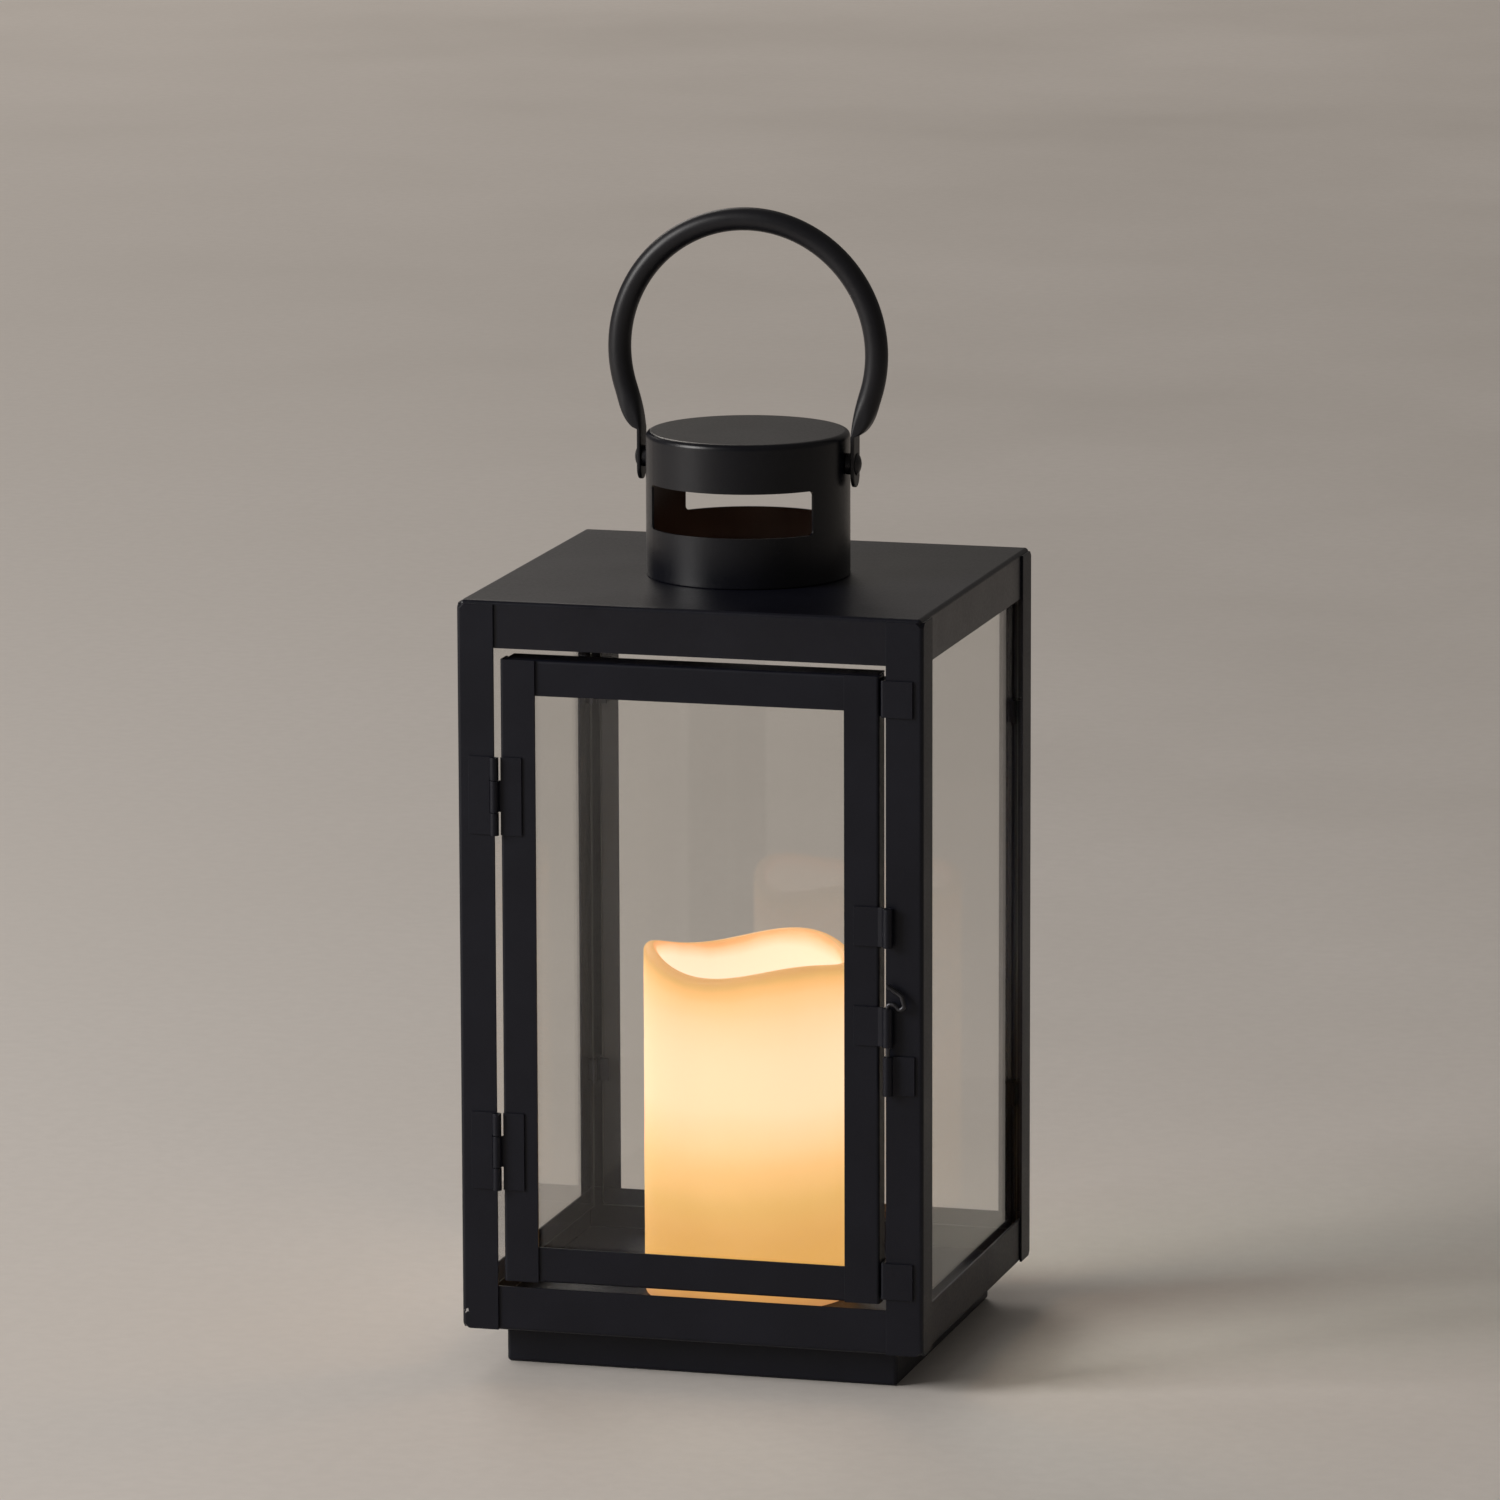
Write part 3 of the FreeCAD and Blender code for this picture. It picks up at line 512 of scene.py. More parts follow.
def plaster(name):
    """Pale matt floor with faint trowel clouds and a fine tooth."""
    n = Nodes(name)
    shader = n.shader(Roughness=0.62)
    cloud = n.noise(2.2, 5, 0.6)
    grit = n.noise(160, 3)
    base = n.mix(n.range(cloud, 0.3, 0.7, 0, 1), (0.70, 0.655, 0.61), (0.76, 0.715, 0.675))
    n.link(n.mix(n.range(grit, 0.35, 0.65, 0, 0.18), base, (0.62, 0.58, 0.54)), shader.inputs["Base Color"])
    n.link(n.range(cloud, 0.3, 0.7, 0.5, 0.7), shader.inputs["Roughness"])
    n.link(n.bumps((grit, 0.12 * MM, 0.3)), shader.inputs["Normal"])
    return n.done(shader)


def printed_board(name):
    """Green solder mask with lighter tracks."""
    n = Nodes(name)
    shader = n.shader(Roughness=0.35)
    cells = n.add("ShaderNodeTexVoronoi", feature="DISTANCE_TO_EDGE")
    cells.inputs["Scale"].default_value = 260
    n.link(n.place, cells.inputs["Vector"])
    track = n.range(cells.outputs["Distance"], 0.04, 0.09, 1, 0)
    n.link(n.mix(track, (0.010, 0.085, 0.030), (0.045, 0.20, 0.075)), shader.inputs["Base Color"])
    n.link(n.range(n.noise(500, 2), 0.3, 0.7, 0.28, 0.45), shader.inputs["Roughness"])
    n.link(n.bumps((track, 0.03 * MM, 0.5)), shader.inputs["Normal"])
    return n.done(shader)


def battery_wrap(name):
    """Dark plastic sleeve with a copper-coloured band at the cap end."""
    n = Nodes(name)
    shader = n.shader(Roughness=0.3)
    split = n.add("ShaderNodeSeparateXYZ")
    n.link(n.place, split.inputs[0])
    band = n.range(split.outputs["Y"], 0.0098, 0.0102, 0, 1)
    dark = n.mix(n.noise(300, 3), (0.012, 0.012, 0.014), (0.028, 0.028, 0.03))
    n.link(n.mix(band, dark, (0.55, 0.27, 0.10)), shader.inputs["Base Color"])
    n.link(n.range(n.noise(180, 3), 0.3, 0.7, 0.22, 0.38), shader.inputs["Roughness"])
    n.link(n.bumps((n.noise(900, 2), 0.02 * MM, 0.3)), shader.inputs["Normal"])
    return n.done(shader)


WAX = lit_wax("lit_wax", OUTER_GLOW)
WAX_INSIDE = lit_wax("lit_wax_hollow", HOLLOW_GLOW)
STEM = glowing("frosted_stem", (1.0, 0.80, 0.48), 1.2)
LAMP = glowing("warm_lamp", (1.0, 0.72, 0.36), 6.0, 0.2)
WHITE_PLASTIC = moulded("white_plastic", (0.78, 0.77, 0.73), 0.42)
BLACK_PLASTIC = moulded("black_plastic", (0.018, 0.018, 0.019), 0.38)
BOARD = printed_board("printed_board")
BATTERY = battery_wrap("battery_sleeve")
CONTACT = drawn_steel("spring_steel", (0.50, 0.49, 0.47), 0.25)
FLOOR = plaster("plaster_floor")

# Outer faces of the folded body and, as skin, the inner faces of its posts.
half_width = high("post_front_right").x
front = low("post_front_right").y
skin_x, skin_y = high("roof_pan").x, high("roof_pan").y
LEFT_RIGHT = (("left", -1), ("right", 1))


# ---- Body: corner posts, roof, tray and plinth --------------------------------------
def clip_corner(bm, corner, inward, size):
    """Slice the tip off a 3-D corner and close the cut."""
    corner, inward = Vector(corner), Vector(inward)
    point = corner + Vector((inward.x * size, 0, 0))
    everything = bm.verts[:] + bm.edges[:] + bm.faces[:]
    bmesh.ops.bisect_plane(bm, geom=everything, plane_co=point, plane_no=-inward, clear_outer=True)
    bmesh.ops.holes_fill(bm, edges=[e for e in bm.edges if e.is_boundary], sides=0)


def corner_post(place, side, depth):
    node = "post_" + place
    flange, clip = 12.7, 2.6
    x, y = side * half_width, depth * -front
    outer_x, outer_y = x - side * SHEET / 2, y - depth * SHEET / 2
    line = bent_line([(x - side * flange, outer_y), (outer_x, outer_y), (outer_x, y - depth * flange)], FOLD)
    bottom, top = low(node).z, high(node).z
    bm = bmesh.new()
    extrude(bm, strip_outline(line), bottom, top)
    bmesh.ops.recalc_face_normals(bm, faces=bm.faces)
    clip_corner(bm, (x, y, bottom), (-side, -depth, 1), clip)
    clip_corner(bm, (x, y, top), (-side, -depth, -1), clip)
    obj = mesh_object("corner_post_" + place, bm)
    finish_edges(obj)
    coat = COAT_CHIPPED if place == "front_left" else COAT
    piece(obj, "frame", [node], [coat, COAT_EDGE])


def folded_pan(name, node, open_side, materials, vent=0):
    """Pan folded from one sheet: open above or below, optionally with a round hole in its flat."""
    corner_low, corner_high = low(node), high(node)
    bm = bmesh.new()
    box_mesh(bm, corner_low, corner_high)
    level = corner_high.z if open_side == "top" else corner_low.z

    def lid():
        return [f for f in bm.faces if all(abs(v.co.z - level) < 1e-3 for v in f.verts)]

    folds = [e for e in bm.edges if lid()[0] not in e.link_faces]
    bmesh.ops.bevel(bm, geom=folds, offset=PAN_BEND, segments=6, profile=0.5, affect="EDGES")
    bmesh.ops.recalc_face_normals(bm, faces=bm.faces)
    bmesh.ops.delete(bm, geom=lid(), context="FACES_ONLY")
    obj = mesh_object(name, bm, closed=False)
    thicken(obj)
    if vent:
        hole = bmesh.new()
        under, over = corner_high.z - 4, corner_high.z + 4
        revolve(hole, [(0, under), (vent, under), (vent, over), (0, over)], 96, closed=False)
        cut(obj, mesh_object("vent_tool", hole))
    finish_edges(obj)
    piece(obj, "frame", [node], materials)


for place, side, depth in (("front_left", -1, -1), ("front_right", 1, -1),
                           ("rear_left", -1, 1), ("rear_right", 1, 1)):
    corner_post(place, side, depth)
folded_pan("roof", "roof_pan", "bottom", [COAT_ROOF, COAT_EDGE], vent=30)
folded_pan("tray", "base_tray", "top", METAL)
folded_pan("foot_plinth", "plinth", "top", METAL)


# ---- Glass and its clips ------------------------------------------------------------
def glass_pane(name, node, body, across):
    """Sheet of float glass with ground edges; across is the index of its thin direction."""
    chamfer = 0.22
    bm = bmesh.new()
    box_mesh(bm, low(node), high(node))
    bmesh.ops.bevel(bm, geom=bm.edges[:], offset=chamfer, segments=1, affect="EDGES")
    bmesh.ops.recalc_face_normals(bm, faces=bm.faces)
    for face in bm.faces:
        face.material_index = 0 if abs(face.normal[across]) > 0.99 else 1
    obj = mesh_object(name, bm)
    piece(obj, body, [node], [GLASS, GLASS_EDGE])


def spring_clips(name, node, body, walls):
    """Z-shaped clips: the foot lies on the metal, the lip over the edge of the glass.

    Each wall gives the glass's edge and outer face, the metal's inner face, and its turn about Z.
    """
    glass, clearance, foot, lip, half_length = 2.0, 0.7, 4.6, 2.6, 4
    bm = bmesh.new()
    for edge, outer, backing, degrees in walls:
        root, foot_y, lip_y = edge + clearance, backing - SHEET / 2, outer - glass - SHEET / 2
        line = bent_line([(root + foot, foot_y), (root, foot_y), (root, lip_y), (edge - lip, lip_y)], 0.6, 4)
        turn = Matrix.Rotation(math.radians(degrees), 3, "Z")
        for level in (72, 206):
            for side in (-1, 1):
                made = extrude(bm, strip_outline(line), level - half_length, level + half_length)
                for v in made:
                    v.co = turn @ Vector((side * v.co.x, v.co.y, v.co.z))
    obj = mesh_object(name, bm)
    finish_edges(obj, 0.1)
    piece(obj, body, [node], METAL)


side_edge = high("pane_right").y
rear_edge = high("pane_rear").x
door_edge = high("door_pane").x
glass_pane("glass_left", "pane_left", "frame", 0)
glass_pane("glass_right", "pane_right", "frame", 0)
glass_pane("glass_rear", "pane_rear", "frame", 1)
spring_clips("glass_clips", "pane_clips", "frame",
             [(side_edge, high("pane_right").x, skin_x, 90), (side_edge, high("pane_right").x, skin_x, -90),
              (rear_edge, high("pane_rear").y, skin_y, 0)])
glass_pane("door_glass", "door_pane", "door", 1)
spring_clips("door_glass_clips", "door_pane_clips", "door", [(door_edge, -low("door_pane").y, skin_y, 180)])


# ---- Door ---------------------------------------------------------------------------
STRIP_WIDTH = 12            # of the stiles, seen from the front


def door_stile(place, side):
    """Upright of the door: front strip, and a return along its outer side."""
    node = "door_stile_" + place
    edge = max(abs(low(node).x), abs(high(node).x))
    outer = edge - SHEET / 2
    line = bent_line([(side * (edge - STRIP_WIDTH), front + SHEET / 2), (side * outer, front + SHEET / 2),
                      (side * outer, high(node).y)], DOOR_FOLD)
    bm = bmesh.new()
    extrude(bm, strip_outline(line), low(node).z, high(node).z)
    obj = mesh_object("stile_" + place, bm)
    finish_edges(obj)
    piece(obj, "door", [node], METAL)


def door_rail(place, node, outward):
    """Cross member: front strip, and a return that stops a little short of the stiles."""
    corner_low, corner_high = low(node), high(node)
    sheet_y = corner_low.y + SHEET / 2
    inner, outer = (corner_low.z, corner_high.z) if outward > 0 else (corner_high.z, corner_low.z)
    outer -= outward * SHEET / 2
    line = bent_line([(sheet_y, inner), (sheet_y, outer), (corner_high.y, outer)], DOOR_FOLD)
    relief = 0.4
    bm = bmesh.new()
    for v in extrude(bm, strip_outline(line), corner_low.x, corner_high.x, along_x=True):
        v.co.x -= math.copysign(min(max(v.co.y - corner_low.y - SHEET, 0), relief), v.co.x)
    obj = mesh_object("rail_" + place, bm)
    finish_edges(obj)
    piece(obj, "door", [node], METAL)


for place, side in LEFT_RIGHT:
    door_stile(place, side)
door_rail("top", "door_rail_top", 1)
door_rail("bottom", "door_rail_bottom", -1)


# ---- Hinges -------------------------------------------------------------------------
HINGE = Vector((-66.8, front - 1.5))        # axis of the pins
LEAF_REACH, LEAF_SHEET, LEAF_ROLL = 9.2, 0.7, 1.15
ROLL_TURN = 292                             # degrees that a leaf is rolled round its axis


def rolled_leaf(name, node, body, start, side, axis, radius, thickness, gaps=(), jog=None):
    """Leaf of sheet from its free edge at start, rolled round an axis on its other side.

    gaps are the heights where the roll is cut away; jog is where the leaf steps out to meet the roll.
    """
    bottom, top = low(node).z, high(node).z
    face = front - thickness / 2
    tangent = axis.y + radius
    points = [(start, face)]
    if jog:
        points += [(jog[0], face), (jog[1], tangent)]
    line = bent_line(points + [(axis.x, tangent)], 0.6, 3)[:-1]
    line += arc(axis, radius, 90, 90 + side * ROLL_TURN, 22)
    bm = bmesh.new()
    extrude(bm, strip_outline(line, thickness), bottom, top)
    obj = mesh_object(name, bm)
    for gap_low, gap_high in gaps:
        near, far = sorted((axis.x - side * 3, axis.x + side * 1.9))
        tool = bmesh.new()
        box_mesh(tool, (near, axis.y - 3, gap_low), (far, front + 1, gap_high))
        cut(obj, mesh_object("gap_tool", tool))
    finish_edges(obj, 0.1)
    piece(obj, body, [node], METAL)


def hinge(place):
    """Butt hinge: post leaf with the outer knuckles, door leaf with the middle one, and the pin."""
    post_node, door_node = "hinge_leaf_post_" + place, "hinge_leaf_door_" + place
    bottom, top = low(post_node).z, high(post_node).z
    knuckle, gap = 7.6, 0.3
    rolled_leaf("hinge_post_side_" + place, post_node, "frame", HINGE.x - LEAF_REACH, -1, HINGE,
                LEAF_ROLL, LEAF_SHEET, [(bottom + knuckle, top - knuckle)])
    rolled_leaf("hinge_door_side_" + place, door_node, "door", HINGE.x + LEAF_REACH, 1, HINGE,
                LEAF_ROLL, LEAF_SHEET, [(bottom - 1, bottom + knuckle + gap), (top - knuckle - gap, top + 1)])
    pin_node = "hinge_pin_" + place
    pin_low, pin_high = low(pin_node).z, high(pin_node).z
    thick = 0.75
    profile = rounded([(0, pin_low), (thick, pin_low), (thick, pin_high), (0, pin_high)], (0, 0.3, 0.3, 0), 4)
    bm = bmesh.new()
    stand(revolve(bm, profile, 28, closed=False), HINGE.x, HINGE.y)
    pin = mesh_object("pin_" + place, bm)
    finish_edges(pin, 0)
    piece(pin, "frame", [pin_node], [PIN])


hinge("upper")
hinge("lower")


# ---- Latch and door stops -----------------------------------------------------------
LATCH = Vector((68.5, front - 2.0))         # axis of the wire bolt
BARREL_ROLL, WIRE_RADIUS = 1.25, 0.8
UPPER_LOWER = ("upper", "lower")
for place in UPPER_LOWER:
    rolled_leaf("latch_barrel_" + place, "latch_guide_" + place, "door", 56.4, -1, LATCH,
                BARREL_ROLL, SHEET, jog=(64.9, 66.3))
rolled_leaf("latch_barrel_keeper", "latch_keeper", "frame", 77.3, 1, LATCH,
            BARREL_ROLL, SHEET, jog=(70.8, 69.9))


def latch_wire():
    """Wire bolt with a small loop bent in its top."""
    bottom = low("latch_bolt").z
    rest = high("latch_guide_lower").z + 1.4
    loop = [(0, 0, 0), (2.3, -0.1, 0), (4.2, -0.2, -2.0), (5.8, -0.3, -0.5), (4.8, -0.3, 3.0), (-0.2, 0, 6.2)]
    corners = [(LATCH.x, LATCH.y, bottom)] + [(LATCH.x + x, LATCH.y + y, rest + z) for x, y, z in loop]
    path = bent_line(corners, 1.3, 8)
    bm = bmesh.new()
    side = Vector((0, 1, 0))
    rings = []
    for i, point in enumerate(path):
        along = (path[min(i + 1, len(path) - 1)] - path[max(i - 1, 0)]).normalized()
        side = (side - along * side.dot(along)).normalized()
        across = along.cross(side)
        rings.append([bm.verts.new(point + (side * math.cos(a) + across * math.sin(a)) * WIRE_RADIUS)
                      for a in (2 * math.pi * k / 20 for k in range(20))])
    for one, two in zip(rings, rings[1:]):
        join_rings(bm, one, two)
    for ring in (rings[0], rings[-1]):
        bm.faces.new(ring).material_index = 1
    obj = mesh_object("latch_wire", bm)
    finish_edges(obj, 0.1)
    piece(obj, "latch_bolt", ["latch_bolt"], [WIRE, WIRE_END])


latch_wire()

for place in UPPER_LOWER:
    node = "door_stop_" + place
    web, tongue = 66.05, high(node).y - SHEET / 2       # middle of the sheet beside and behind the door
    line = bent_line([(high(node).x, front - SHEET / 2), (web, front - SHEET / 2), (web, tongue),
                      (low(node).x, tongue)], 0.6)
    bm = bmesh.new()
    extrude(bm, strip_outline(line), low(node).z, high(node).z)
    stop = mesh_object("stop_plate_" + place, bm)
    finish_edges(stop)
    piece(stop, "frame", [node], METAL)


# ---- Chimney ------------------------------------------------------------------------
CHIMNEY_RADIUS = high("chimney").x


def round_window_corners(bm, radius, window_low, window_high, reach, corner):
    """Move the opening's border near each corner onto an arc."""
    half, tall = reach * radius, (window_high - window_low) / 2
    middle_level = (window_high + window_low) / 2
    for v in bm.verts:
        on_border = any(e.is_boundary for e in v.link_edges)
        if not on_border or not window_low - 1e-3 <= v.co.z <= window_high + 1e-3:
            continue
        facing = 0 if v.co.y < 0 else math.pi
        angle = math.atan2(v.co.x, -v.co.y) if facing == 0 else math.atan2(-v.co.x, v.co.y)
        along, up = angle * radius, v.co.z - middle_level
        from_side, from_end = half - abs(along), tall - abs(up)
        if from_side > corner - 1e-4 or from_end > corner - 1e-4:
            continue
        bend = math.radians(45) * (1 - max(from_side, from_end) / corner)
        near, far = corner * (1 - math.cos(bend)), corner * (1 - math.sin(bend))
        new_side, new_end = (far, near) if from_side >= from_end else (near, far)
        new_angle = math.copysign((half - new_side) / radius, along) + facing
        v.co = Vector((radius * math.sin(new_angle), -radius * math.cos(new_angle),
                       middle_level + math.copysign(tall - new_end, up)))


def chimney_cap():
    """Drawn cap: rounded top, turned-in foot, and a window with round corners front and back."""
    foot, top = low("chimney").z, high("chimney").z
    radius, corner = CHIMNEY_RADIUS, 1.6
    window_low, window_high, half = 279.6, 294.6, 28.0
    turned_in, foot_bend, top_bend = 3.4, 0.45, 2.0
    reach = math.asin(half / radius)
    small = [corner / radius * k / 5 for k in range(5)]
    inside = [reach - a for a in small] + [reach * (1 - k / 18) for k in range(2, 19)]
    angles = sorted({round(a, 6) for a in inside + [-a for a in inside]})
    outside = [reach + (math.pi - 2 * reach) * k / 30 for k in range(1, 30)]
    turn = angles + outside
    columns = turn + [a + math.pi for a in turn]

    steps = [corner * k / 5 for k in range(6)]
    levels = [window_low + s for s in steps] + [window_low + 3.9, window_low + 7.5, window_low + 11.1]
    levels += [window_high - s for s in reversed(steps)]
    levels = [263.6, 265.5, 268, 272, 276] + levels + [300, 304]
    lower = bent_line([(radius - turned_in, foot), (radius, foot), (radius, 270)], foot_bend)[1:-1]
    upper = bent_line([(radius, 300), (radius, top), (0, top)], top_bend, 8)[1:-1]
    profile = [(radius - turned_in, foot)] + [(p.x, p.y) for p in lower] + [(radius, z) for z in levels]
    profile += [(p.x, p.y) for p in upper] + [(radius * share, top) for share in (0.86, 0.7, 0.4)]
    bm = bmesh.new()
    grid = [[bm.verts.new((r * math.sin(a), -r * math.cos(a), z)) for a in columns] for r, z in profile]
    count = len(columns)
    for (r, z), row, above in zip(profile, grid, grid[1:]):
        for i in range(count):
            j = (i + 1) % count
            centre_angle = (columns[i] + 0.5 * ((columns[j] - columns[i]) % (2 * math.pi))) % math.pi
            off_middle = min(centre_angle, math.pi - centre_angle)
            if window_low - 1e-4 <= z < window_high - 1e-3 and off_middle < reach:
                continue
            bm.faces.new((row[i], row[j], above[j], above[i]))
    hub = bm.verts.new((0, 0, top))
    join_rings(bm, grid[-1], [hub])
    round_window_corners(bm, radius, window_low, window_high, reach, corner)
    bmesh.ops.delete(bm, geom=[v for v in bm.verts if not v.link_faces], context="VERTS")
    bmesh.ops.recalc_face_normals(bm, faces=bm.faces)
    obj = mesh_object("chimney_cap", bm, closed=False)
    thicken(obj)
    # Inner faces take the brown coat, which paints the candle's warm light on the inside of the chimney.
    for face in obj.data.polygons:
        middle = face.center / MM
        if math.hypot(middle.x, middle.y) < radius - 0.6 and middle.z < top - 0.6:
            face.material_index = 2
    finish_edges(obj, 0.16, 50)
    piece(obj, "frame", ["chimney"], [COAT_CHIMNEY, COAT_EDGE, COAT_INSIDE_CANDLELIT])


chimney_cap()


# ---- Ring handle --------------------------------------------------------------------
PIVOT = 301.0                               # level of the rivets' axis
HOLE_RADIUS, RIVET_RADIUS = 2.05, 2.0
LUG_INNER, LUG_HALF_WIDTH, LUG_HALF_THICK = 36.5, 4.2, 0.7
LUG_X, LUG_END = LUG_INNER + LUG_HALF_THICK, PIVOT - 7.8


def handle_sections():
    """Centre, normal, half sizes and squareness of each section, from the ring's top to the lug's end."""
    ring_radius, tube, taper_top, lug_top = 44.7, 3.9, 324.4, 310.5
    centre = Vector((0, 0, high("ring_handle").z - tube - ring_radius))
    last = math.asin((taper_top - centre.z) / ring_radius)
    sections = []
    for i in range(49):
        a = math.pi / 2 + (last - math.pi / 2) * i / 48
        outward = Vector((math.cos(a), 0, math.sin(a)))
        sections.append((centre + outward * ring_radius, outward, tube, tube, 2.0))
    inner_start = centre + Vector((math.cos(last), 0, math.sin(last))) * (ring_radius - tube)
    inner_bend, inner_end = Vector((LUG_INNER, 0, 318.0)), Vector((LUG_INNER, 0, lug_top))
    for i in range(1, 21):
        t = i / 20
        half = LUG_HALF_THICK + (tube - LUG_HALF_THICK) * max(1 - t ** 2.5, 0) ** 0.6
        outward = Vector((math.cos(last * (1 - t)), 0, math.sin(last * (1 - t))))
        inner = inner_start * (1 - t) ** 2 + inner_bend * 2 * t * (1 - t) + inner_end * t * t
        sections.append((inner + outward * half, outward,
                         tube + (LUG_HALF_WIDTH - tube) * t, half, 2.0 + 4 * t ** 2))
    outward = Vector((1, 0, 0))
    end_centre = LUG_END + LUG_HALF_WIDTH
    for level in (308.5, 306.5, 304, 302, 300, end_centre):
        sections.append((Vector((LUG_X, 0, level)), outward, LUG_HALF_WIDTH, LUG_HALF_THICK, 6.0))
    for degrees in (12, 24, 36, 48, 60, 70, 79, 86):
        a = math.radians(degrees)
        place = Vector((LUG_X, 0, end_centre - LUG_HALF_WIDTH * math.sin(a)))
        half = LUG_HALF_THICK * (1 - 0.25 * (degrees / 86) ** 4)
        sections.append((place, outward, LUG_HALF_WIDTH * math.cos(a), half, 6.0))
    return sections


def ring_handle():
    """Round tube bent to a ring, its ends flattened to lugs with a hole for the rivet."""
    right = handle_sections()
    count = 40
    bm = bmesh.new()
    rings = []
    for side, sections in ((-1, right[:0:-1]), (1, right)):
        for centre, normal, half_y, half_out, square in sections:
            ring = []
            for k in range(count):
                c, s = math.cos(2 * math.pi * k / count), math.sin(2 * math.pi * k / count)
                out = math.copysign(abs(c) ** (2 / square), c) * half_out
                across = math.copysign(abs(s) ** (2 / square), s) * half_y
                point = centre + normal * out + Vector((0, across, 0))
                ring.append(bm.verts.new((side * point.x, point.y, point.z)))
            rings.append(ring)
    for one, two in zip(rings, rings[1:]):
        join_rings(bm, one, two)
    bm.faces.new(rings[0])
    bm.faces.new(rings[-1])
    obj = mesh_object("carrying_ring", bm)
    for side in (-1, 1):
        hole = bmesh.new()
        bore = [(0, 30), (HOLE_RADIUS, 30), (HOLE_RADIUS, 42), (0, 42)]
        lay_along_x(revolve(hole, bore, 32, closed=False), side, PIVOT)
        cut(obj, mesh_object("rivet_hole_tool", hole))
    finish_edges(obj, 0.1, 60)
    piece(obj, "ring_handle", ["ring_handle"], [COAT_HANDLE, COAT_EDGE])


def rivets_and_washers():
    """Domed rivets through the chimney's wall, and the spacers between it and the lugs."""
    head, reach, rise = high("handle_rivets").x, 3.8, 1.4
    seat = head - rise
    inner = CHIMNEY_RADIUS - SHEET - 0.2
    dome_radius = (reach ** 2 + rise ** 2) / (2 * rise)
    dome = [(dome_radius * math.sin(a), head - dome_radius + dome_radius * math.cos(a))
            for a in (math.asin(reach / dome_radius) * (1 - k / 10) for k in range(10))]
    tail = rounded([(0, inner - 1.3), (reach, inner - 1.3), (reach, inner), (RIVET_RADIUS, inner)],
                   (0, 0.3, 0.2, 0), 3)
    profile = [tuple(p) for p in tail] + [(RIVET_RADIUS, seat), (reach - 0.15, seat)] + dome + [(0, head)]
    start, end = CHIMNEY_RADIUS + 0.05, LUG_INNER - 0.05
    rivets, washers = bmesh.new(), bmesh.new()
    for side in (-1, 1):
        lay_along_x(revolve(rivets, profile, 40, closed=False), side, PIVOT)
        ring = rounded([(HOLE_RADIUS, start), (3.6, start), (3.6, end), (HOLE_RADIUS, end)],
                       (0.08, 0.25, 0.25, 0.08), 3)
        lay_along_x(revolve(washers, ring, 40), side, PIVOT)
    for name, node, bm in (("pivot_rivets", "handle_rivets", rivets),
                           ("pivot_washers", "handle_washers", washers)):
        obj = mesh_object(name, bm)
        finish_edges(obj, 0)
        piece(obj, "frame", [node], [COAT_HANDLE])


ring_handle()
rivets_and_washers()


# ---- Battery candle -----------------------------------------------------------------
def rim_wave(radius, height, angle):
    """The pillar's melted-looking rim rises and dips round the top; the wall is not quite true.

    Points nearer the axis than the hollow's wall stay where they are.
    """
    def turn(degrees, times=1):
        return math.cos(times * (angle + math.radians(degrees)))
    rise = -0.2 + 0.45 * turn(-135) + 0.8 * turn(-31.5, 2) + 2.27 * turn(47, 3)
    reach = min(max((height - 102) / 30, 0), 1)
    if radius < 30.5:
        return radius, height
    place = Vector((math.cos(angle), math.sin(angle), height / 40))
    swell = 0.12 * noise.noise(place * 1.7) + 0.04 * noise.noise(place * 6)
    return radius + swell - 0.12, height + rise * reach * reach * (3 - 2 * reach)


def candle():
    """Wax pillar with a hollow top and a space for the battery box, and the lit stem inside it."""
    segments = 160
    base, top = low("candle_wax").z, high("candle_wax").z
    radius = high("candle_wax").x
    hollow, floor, cavity = radius - 4.5, 96.0, 29.5
    roof, bore = base + 34, 7.8
    wall = [(radius, base + 1 + (top - base - 4) * k / 26) for k in range(27)]
    inner_wall = [(hollow, top - 3 - (top - floor - 10) * k / 10) for k in range(11)]
    rim = rounded([(radius, top - 20), (radius, top), (hollow, top), (hollow, top - 20)],
                  (0, 2.1, 2.1, 0), 7)[1:-1]
    fillet = rounded([(hollow, floor + 20), (hollow, floor), (0, floor)], (0, 6, 0), 7)[1:-1]
    profile = [(cavity, base), (radius - 0.7, base), (radius - 0.2, base + 0.3)] + wall
    profile += [tuple(p) for p in rim] + inner_wall + [tuple(p) for p in fillet]
    profile += [(20, floor), (12, floor), (bore + 0.6, floor), (bore, floor - 0.6)]
    profile += [(bore, roof), (cavity, roof)]
    bm = bmesh.new()
    straight = bm.verts.layers.float.new(WAX_HEIGHT)
    verts = revolve(bm, profile, segments, wave=rim_wave)
    heights = [height for _, height in profile for _ in range(segments)]
    for vert, height in zip(verts, heights):
        vert[straight] = height * MM
    for face in bm.faces:
        middle = face.calc_center_median()
        inside = math.hypot(middle.x, middle.y) < hollow + 1.2 and middle.z > floor - 2
        face.material_index = 1 if inside else 0
    obj = mesh_object("wax_pillar", bm)
    finish_edges(obj, 0)
    piece(obj, "candle", ["candle_wax"], [WAX, WAX_INSIDE])

    foot, stem_top = low("light_stem").z, high("light_stem").z
    outline = rounded([(3.2, foot), (13.0, foot), (13.0, foot + 2), (7.6, foot + 2), (7.6, stem_top),
                       (0, stem_top), (0, stem_top - 3), (3.2, stem_top - 4)],
                      (0.2, 0.3, 0.3, 0.8, 3.4, 0, 0, 1.0), 6)
    bm = bmesh.new()
    revolve(bm, [tuple(p) for p in outline], 64)
    stem = mesh_object("lamp_stem", bm)
    finish_edges(stem, 0)
    piece(stem, "candle", ["light_stem"], [STEM])


candle()


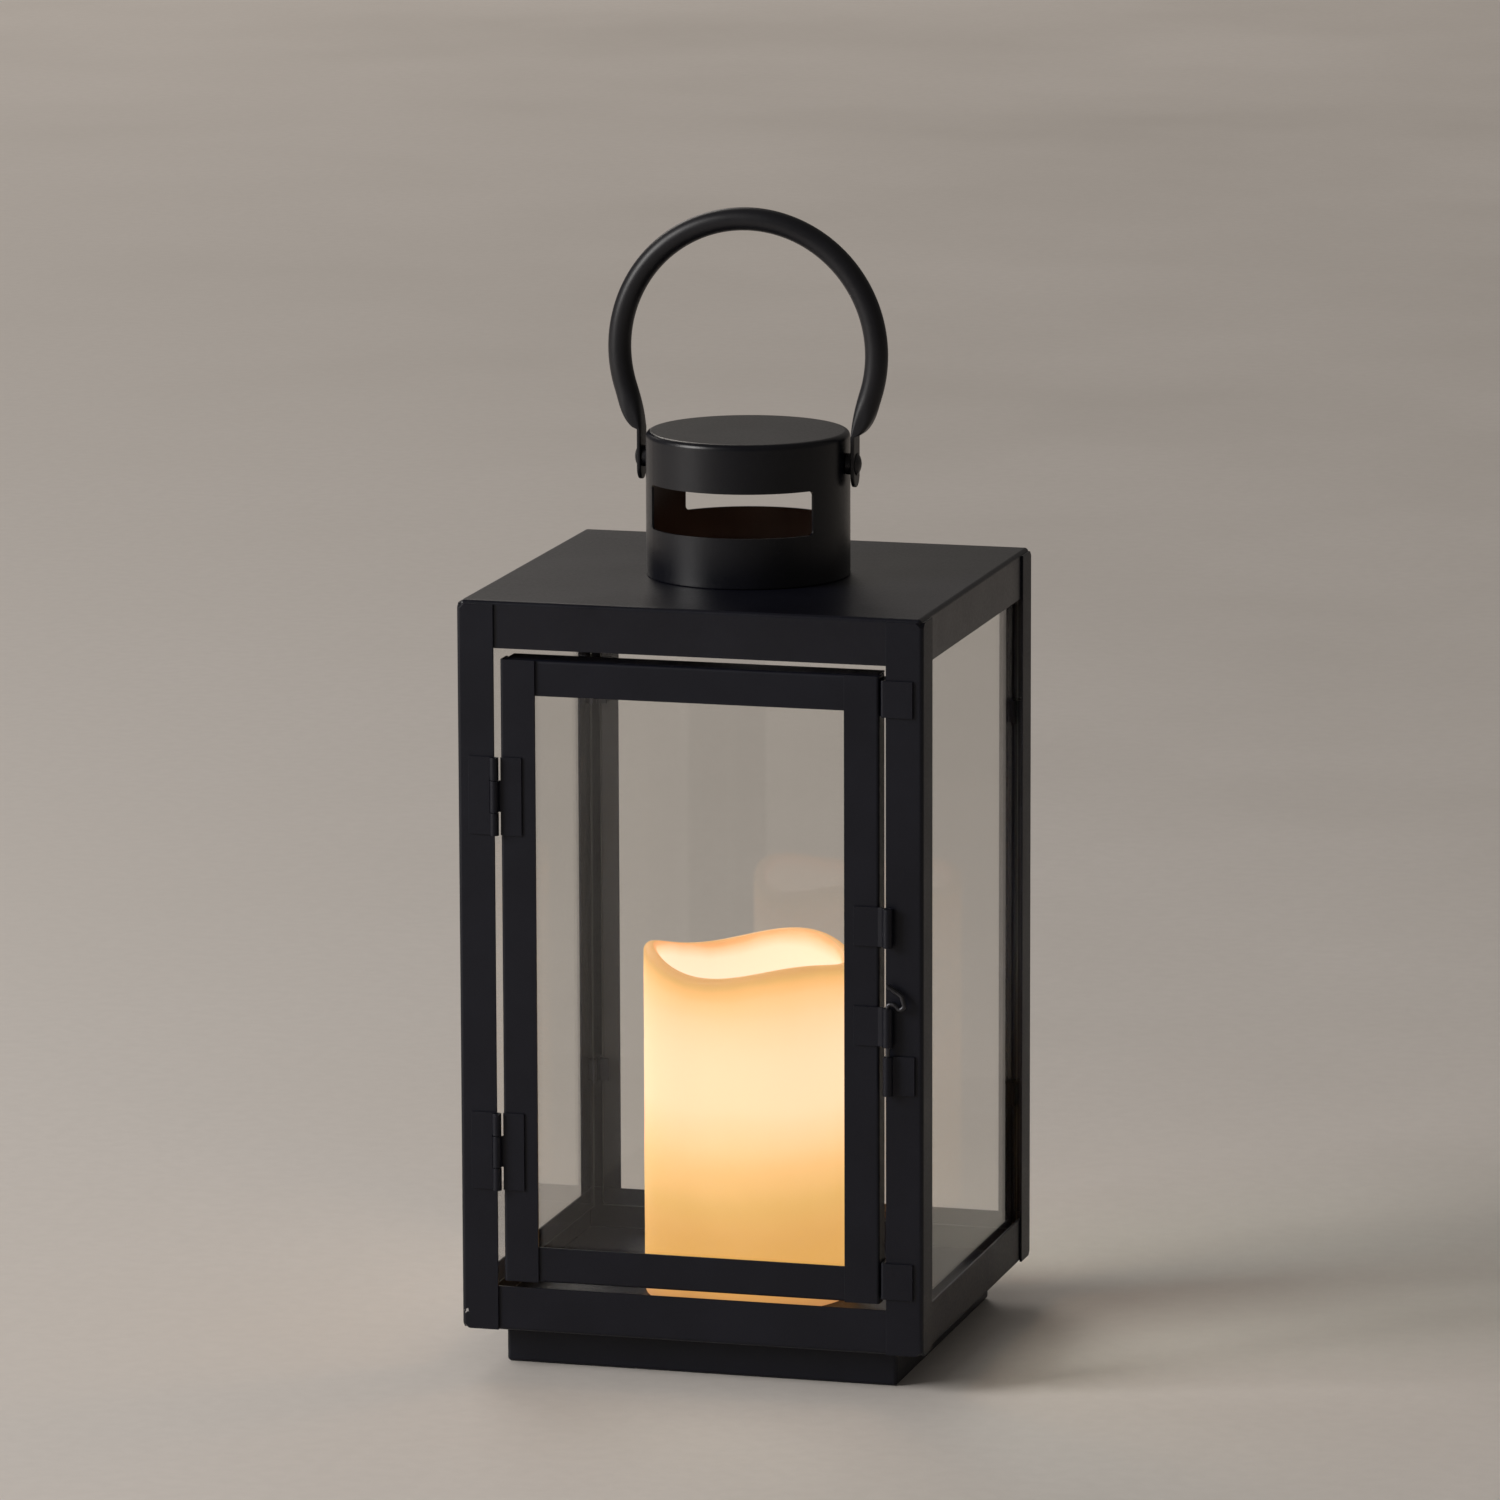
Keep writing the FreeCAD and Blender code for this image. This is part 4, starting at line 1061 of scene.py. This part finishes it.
def dress(nodes, material):
    """Finish for CAD nodes that are shown as they are."""
    for node in nodes:
        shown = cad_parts[node]
        shown.data.materials.clear()
        shown.data.materials.append(material)


dress(["led"], LAMP)
dress(["circuit_board"], BOARD)
dress(["battery_box", "battery_cover"], WHITE_PLASTIC)
dress(["switch_body", "switch_knob"], BLACK_PLASTIC)
dress(["battery_left", "battery_right"], BATTERY)
dress(["battery_contacts"], CONTACT)


# ---- Floor, light and camera --------------------------------------------------------
def floor_plane():
    """Plain floor that reaches to the horizon."""
    bm = bmesh.new()
    bmesh.ops.create_grid(bm, x_segments=8, y_segments=8, size=14)
    obj = linked_object("studio_floor", bm)
    obj.data.materials.append(FLOOR)


def soft_box(name, place, target, size, power, colour):
    """Rectangular studio lamp at a place, aimed at a target."""
    data = bpy.data.lights.new(name, "AREA")
    data.shape = "RECTANGLE"
    data.size, data.size_y = size
    data.energy = power
    data.color = colour
    obj = bpy.data.objects.new(name, data)
    obj.location = place
    obj.rotation_euler = (Vector(target) - Vector(place)).to_track_quat("-Z", "Y").to_euler()
    scene.collection.objects.link(obj)


def candle_light(name, height, size, power):
    """Warm light on the candle's axis that adds to the wax's own glow and isn't seen itself."""
    data = bpy.data.lights.new(name, "POINT")
    data.shadow_soft_size = size
    data.energy = power
    data.color = (1.0, 0.56, 0.26)
    obj = bpy.data.objects.new(name, data)
    obj.location = (0, 0, height)
    obj.visible_camera = obj.visible_glossy = obj.visible_transmission = False
    scene.collection.objects.link(obj)
    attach(obj, "candle")


def camera():
    """Long lens a little above the roof, to the right of the front."""
    azimuth, pitch, roll = (math.radians(degrees) for degrees in (15.44, 10.76, -0.18))
    level = math.cos(pitch)
    ahead = Vector((-math.sin(azimuth) * level, math.cos(azimuth) * level, -math.sin(pitch)))
    right = Vector((math.cos(azimuth), math.sin(azimuth), 0))
    up = right.cross(ahead)
    right, up = (right * math.cos(roll) + up * math.sin(roll), up * math.cos(roll) - right * math.sin(roll))
    data = bpy.data.cameras.new("camera")
    data.lens = 231.38
    data.sensor_width = 36
    obj = bpy.data.objects.new("camera", data)
    obj.matrix_world = Matrix((right, up, -ahead)).transposed().to_4x4()
    obj.location = (0.8530, -3.0871, 0.8103)
    scene.collection.objects.link(obj)
    scene.camera = obj


floor_plane()
candle_light("hollow_glow", 0.114, 0.005, 0.002)
candle_light("cabin_glow", 0.205, 0.015, 0.10)
soft_box("key", (-2.5, -1.7, 1.5), (0, 0.2, 0.1), (1.4, 1.8), 92, (1.0, 0.975, 0.95))
soft_box("back", (-3.4, 5.6, 3.6), (0.6, 4.6, 0), (4.0, 3.0), 106, (1.0, 0.93, 0.86))
camera()

scene.world = bpy.data.worlds.new("studio")
scene.world.use_nodes = True
background = scene.world.node_tree.nodes["Background"]
background.inputs["Color"].default_value = (0.60, 0.56, 0.52, 1)
background.inputs["Strength"].default_value = 0.22
scene.view_settings.view_transform = "Standard"
scene.view_settings.look = "None"
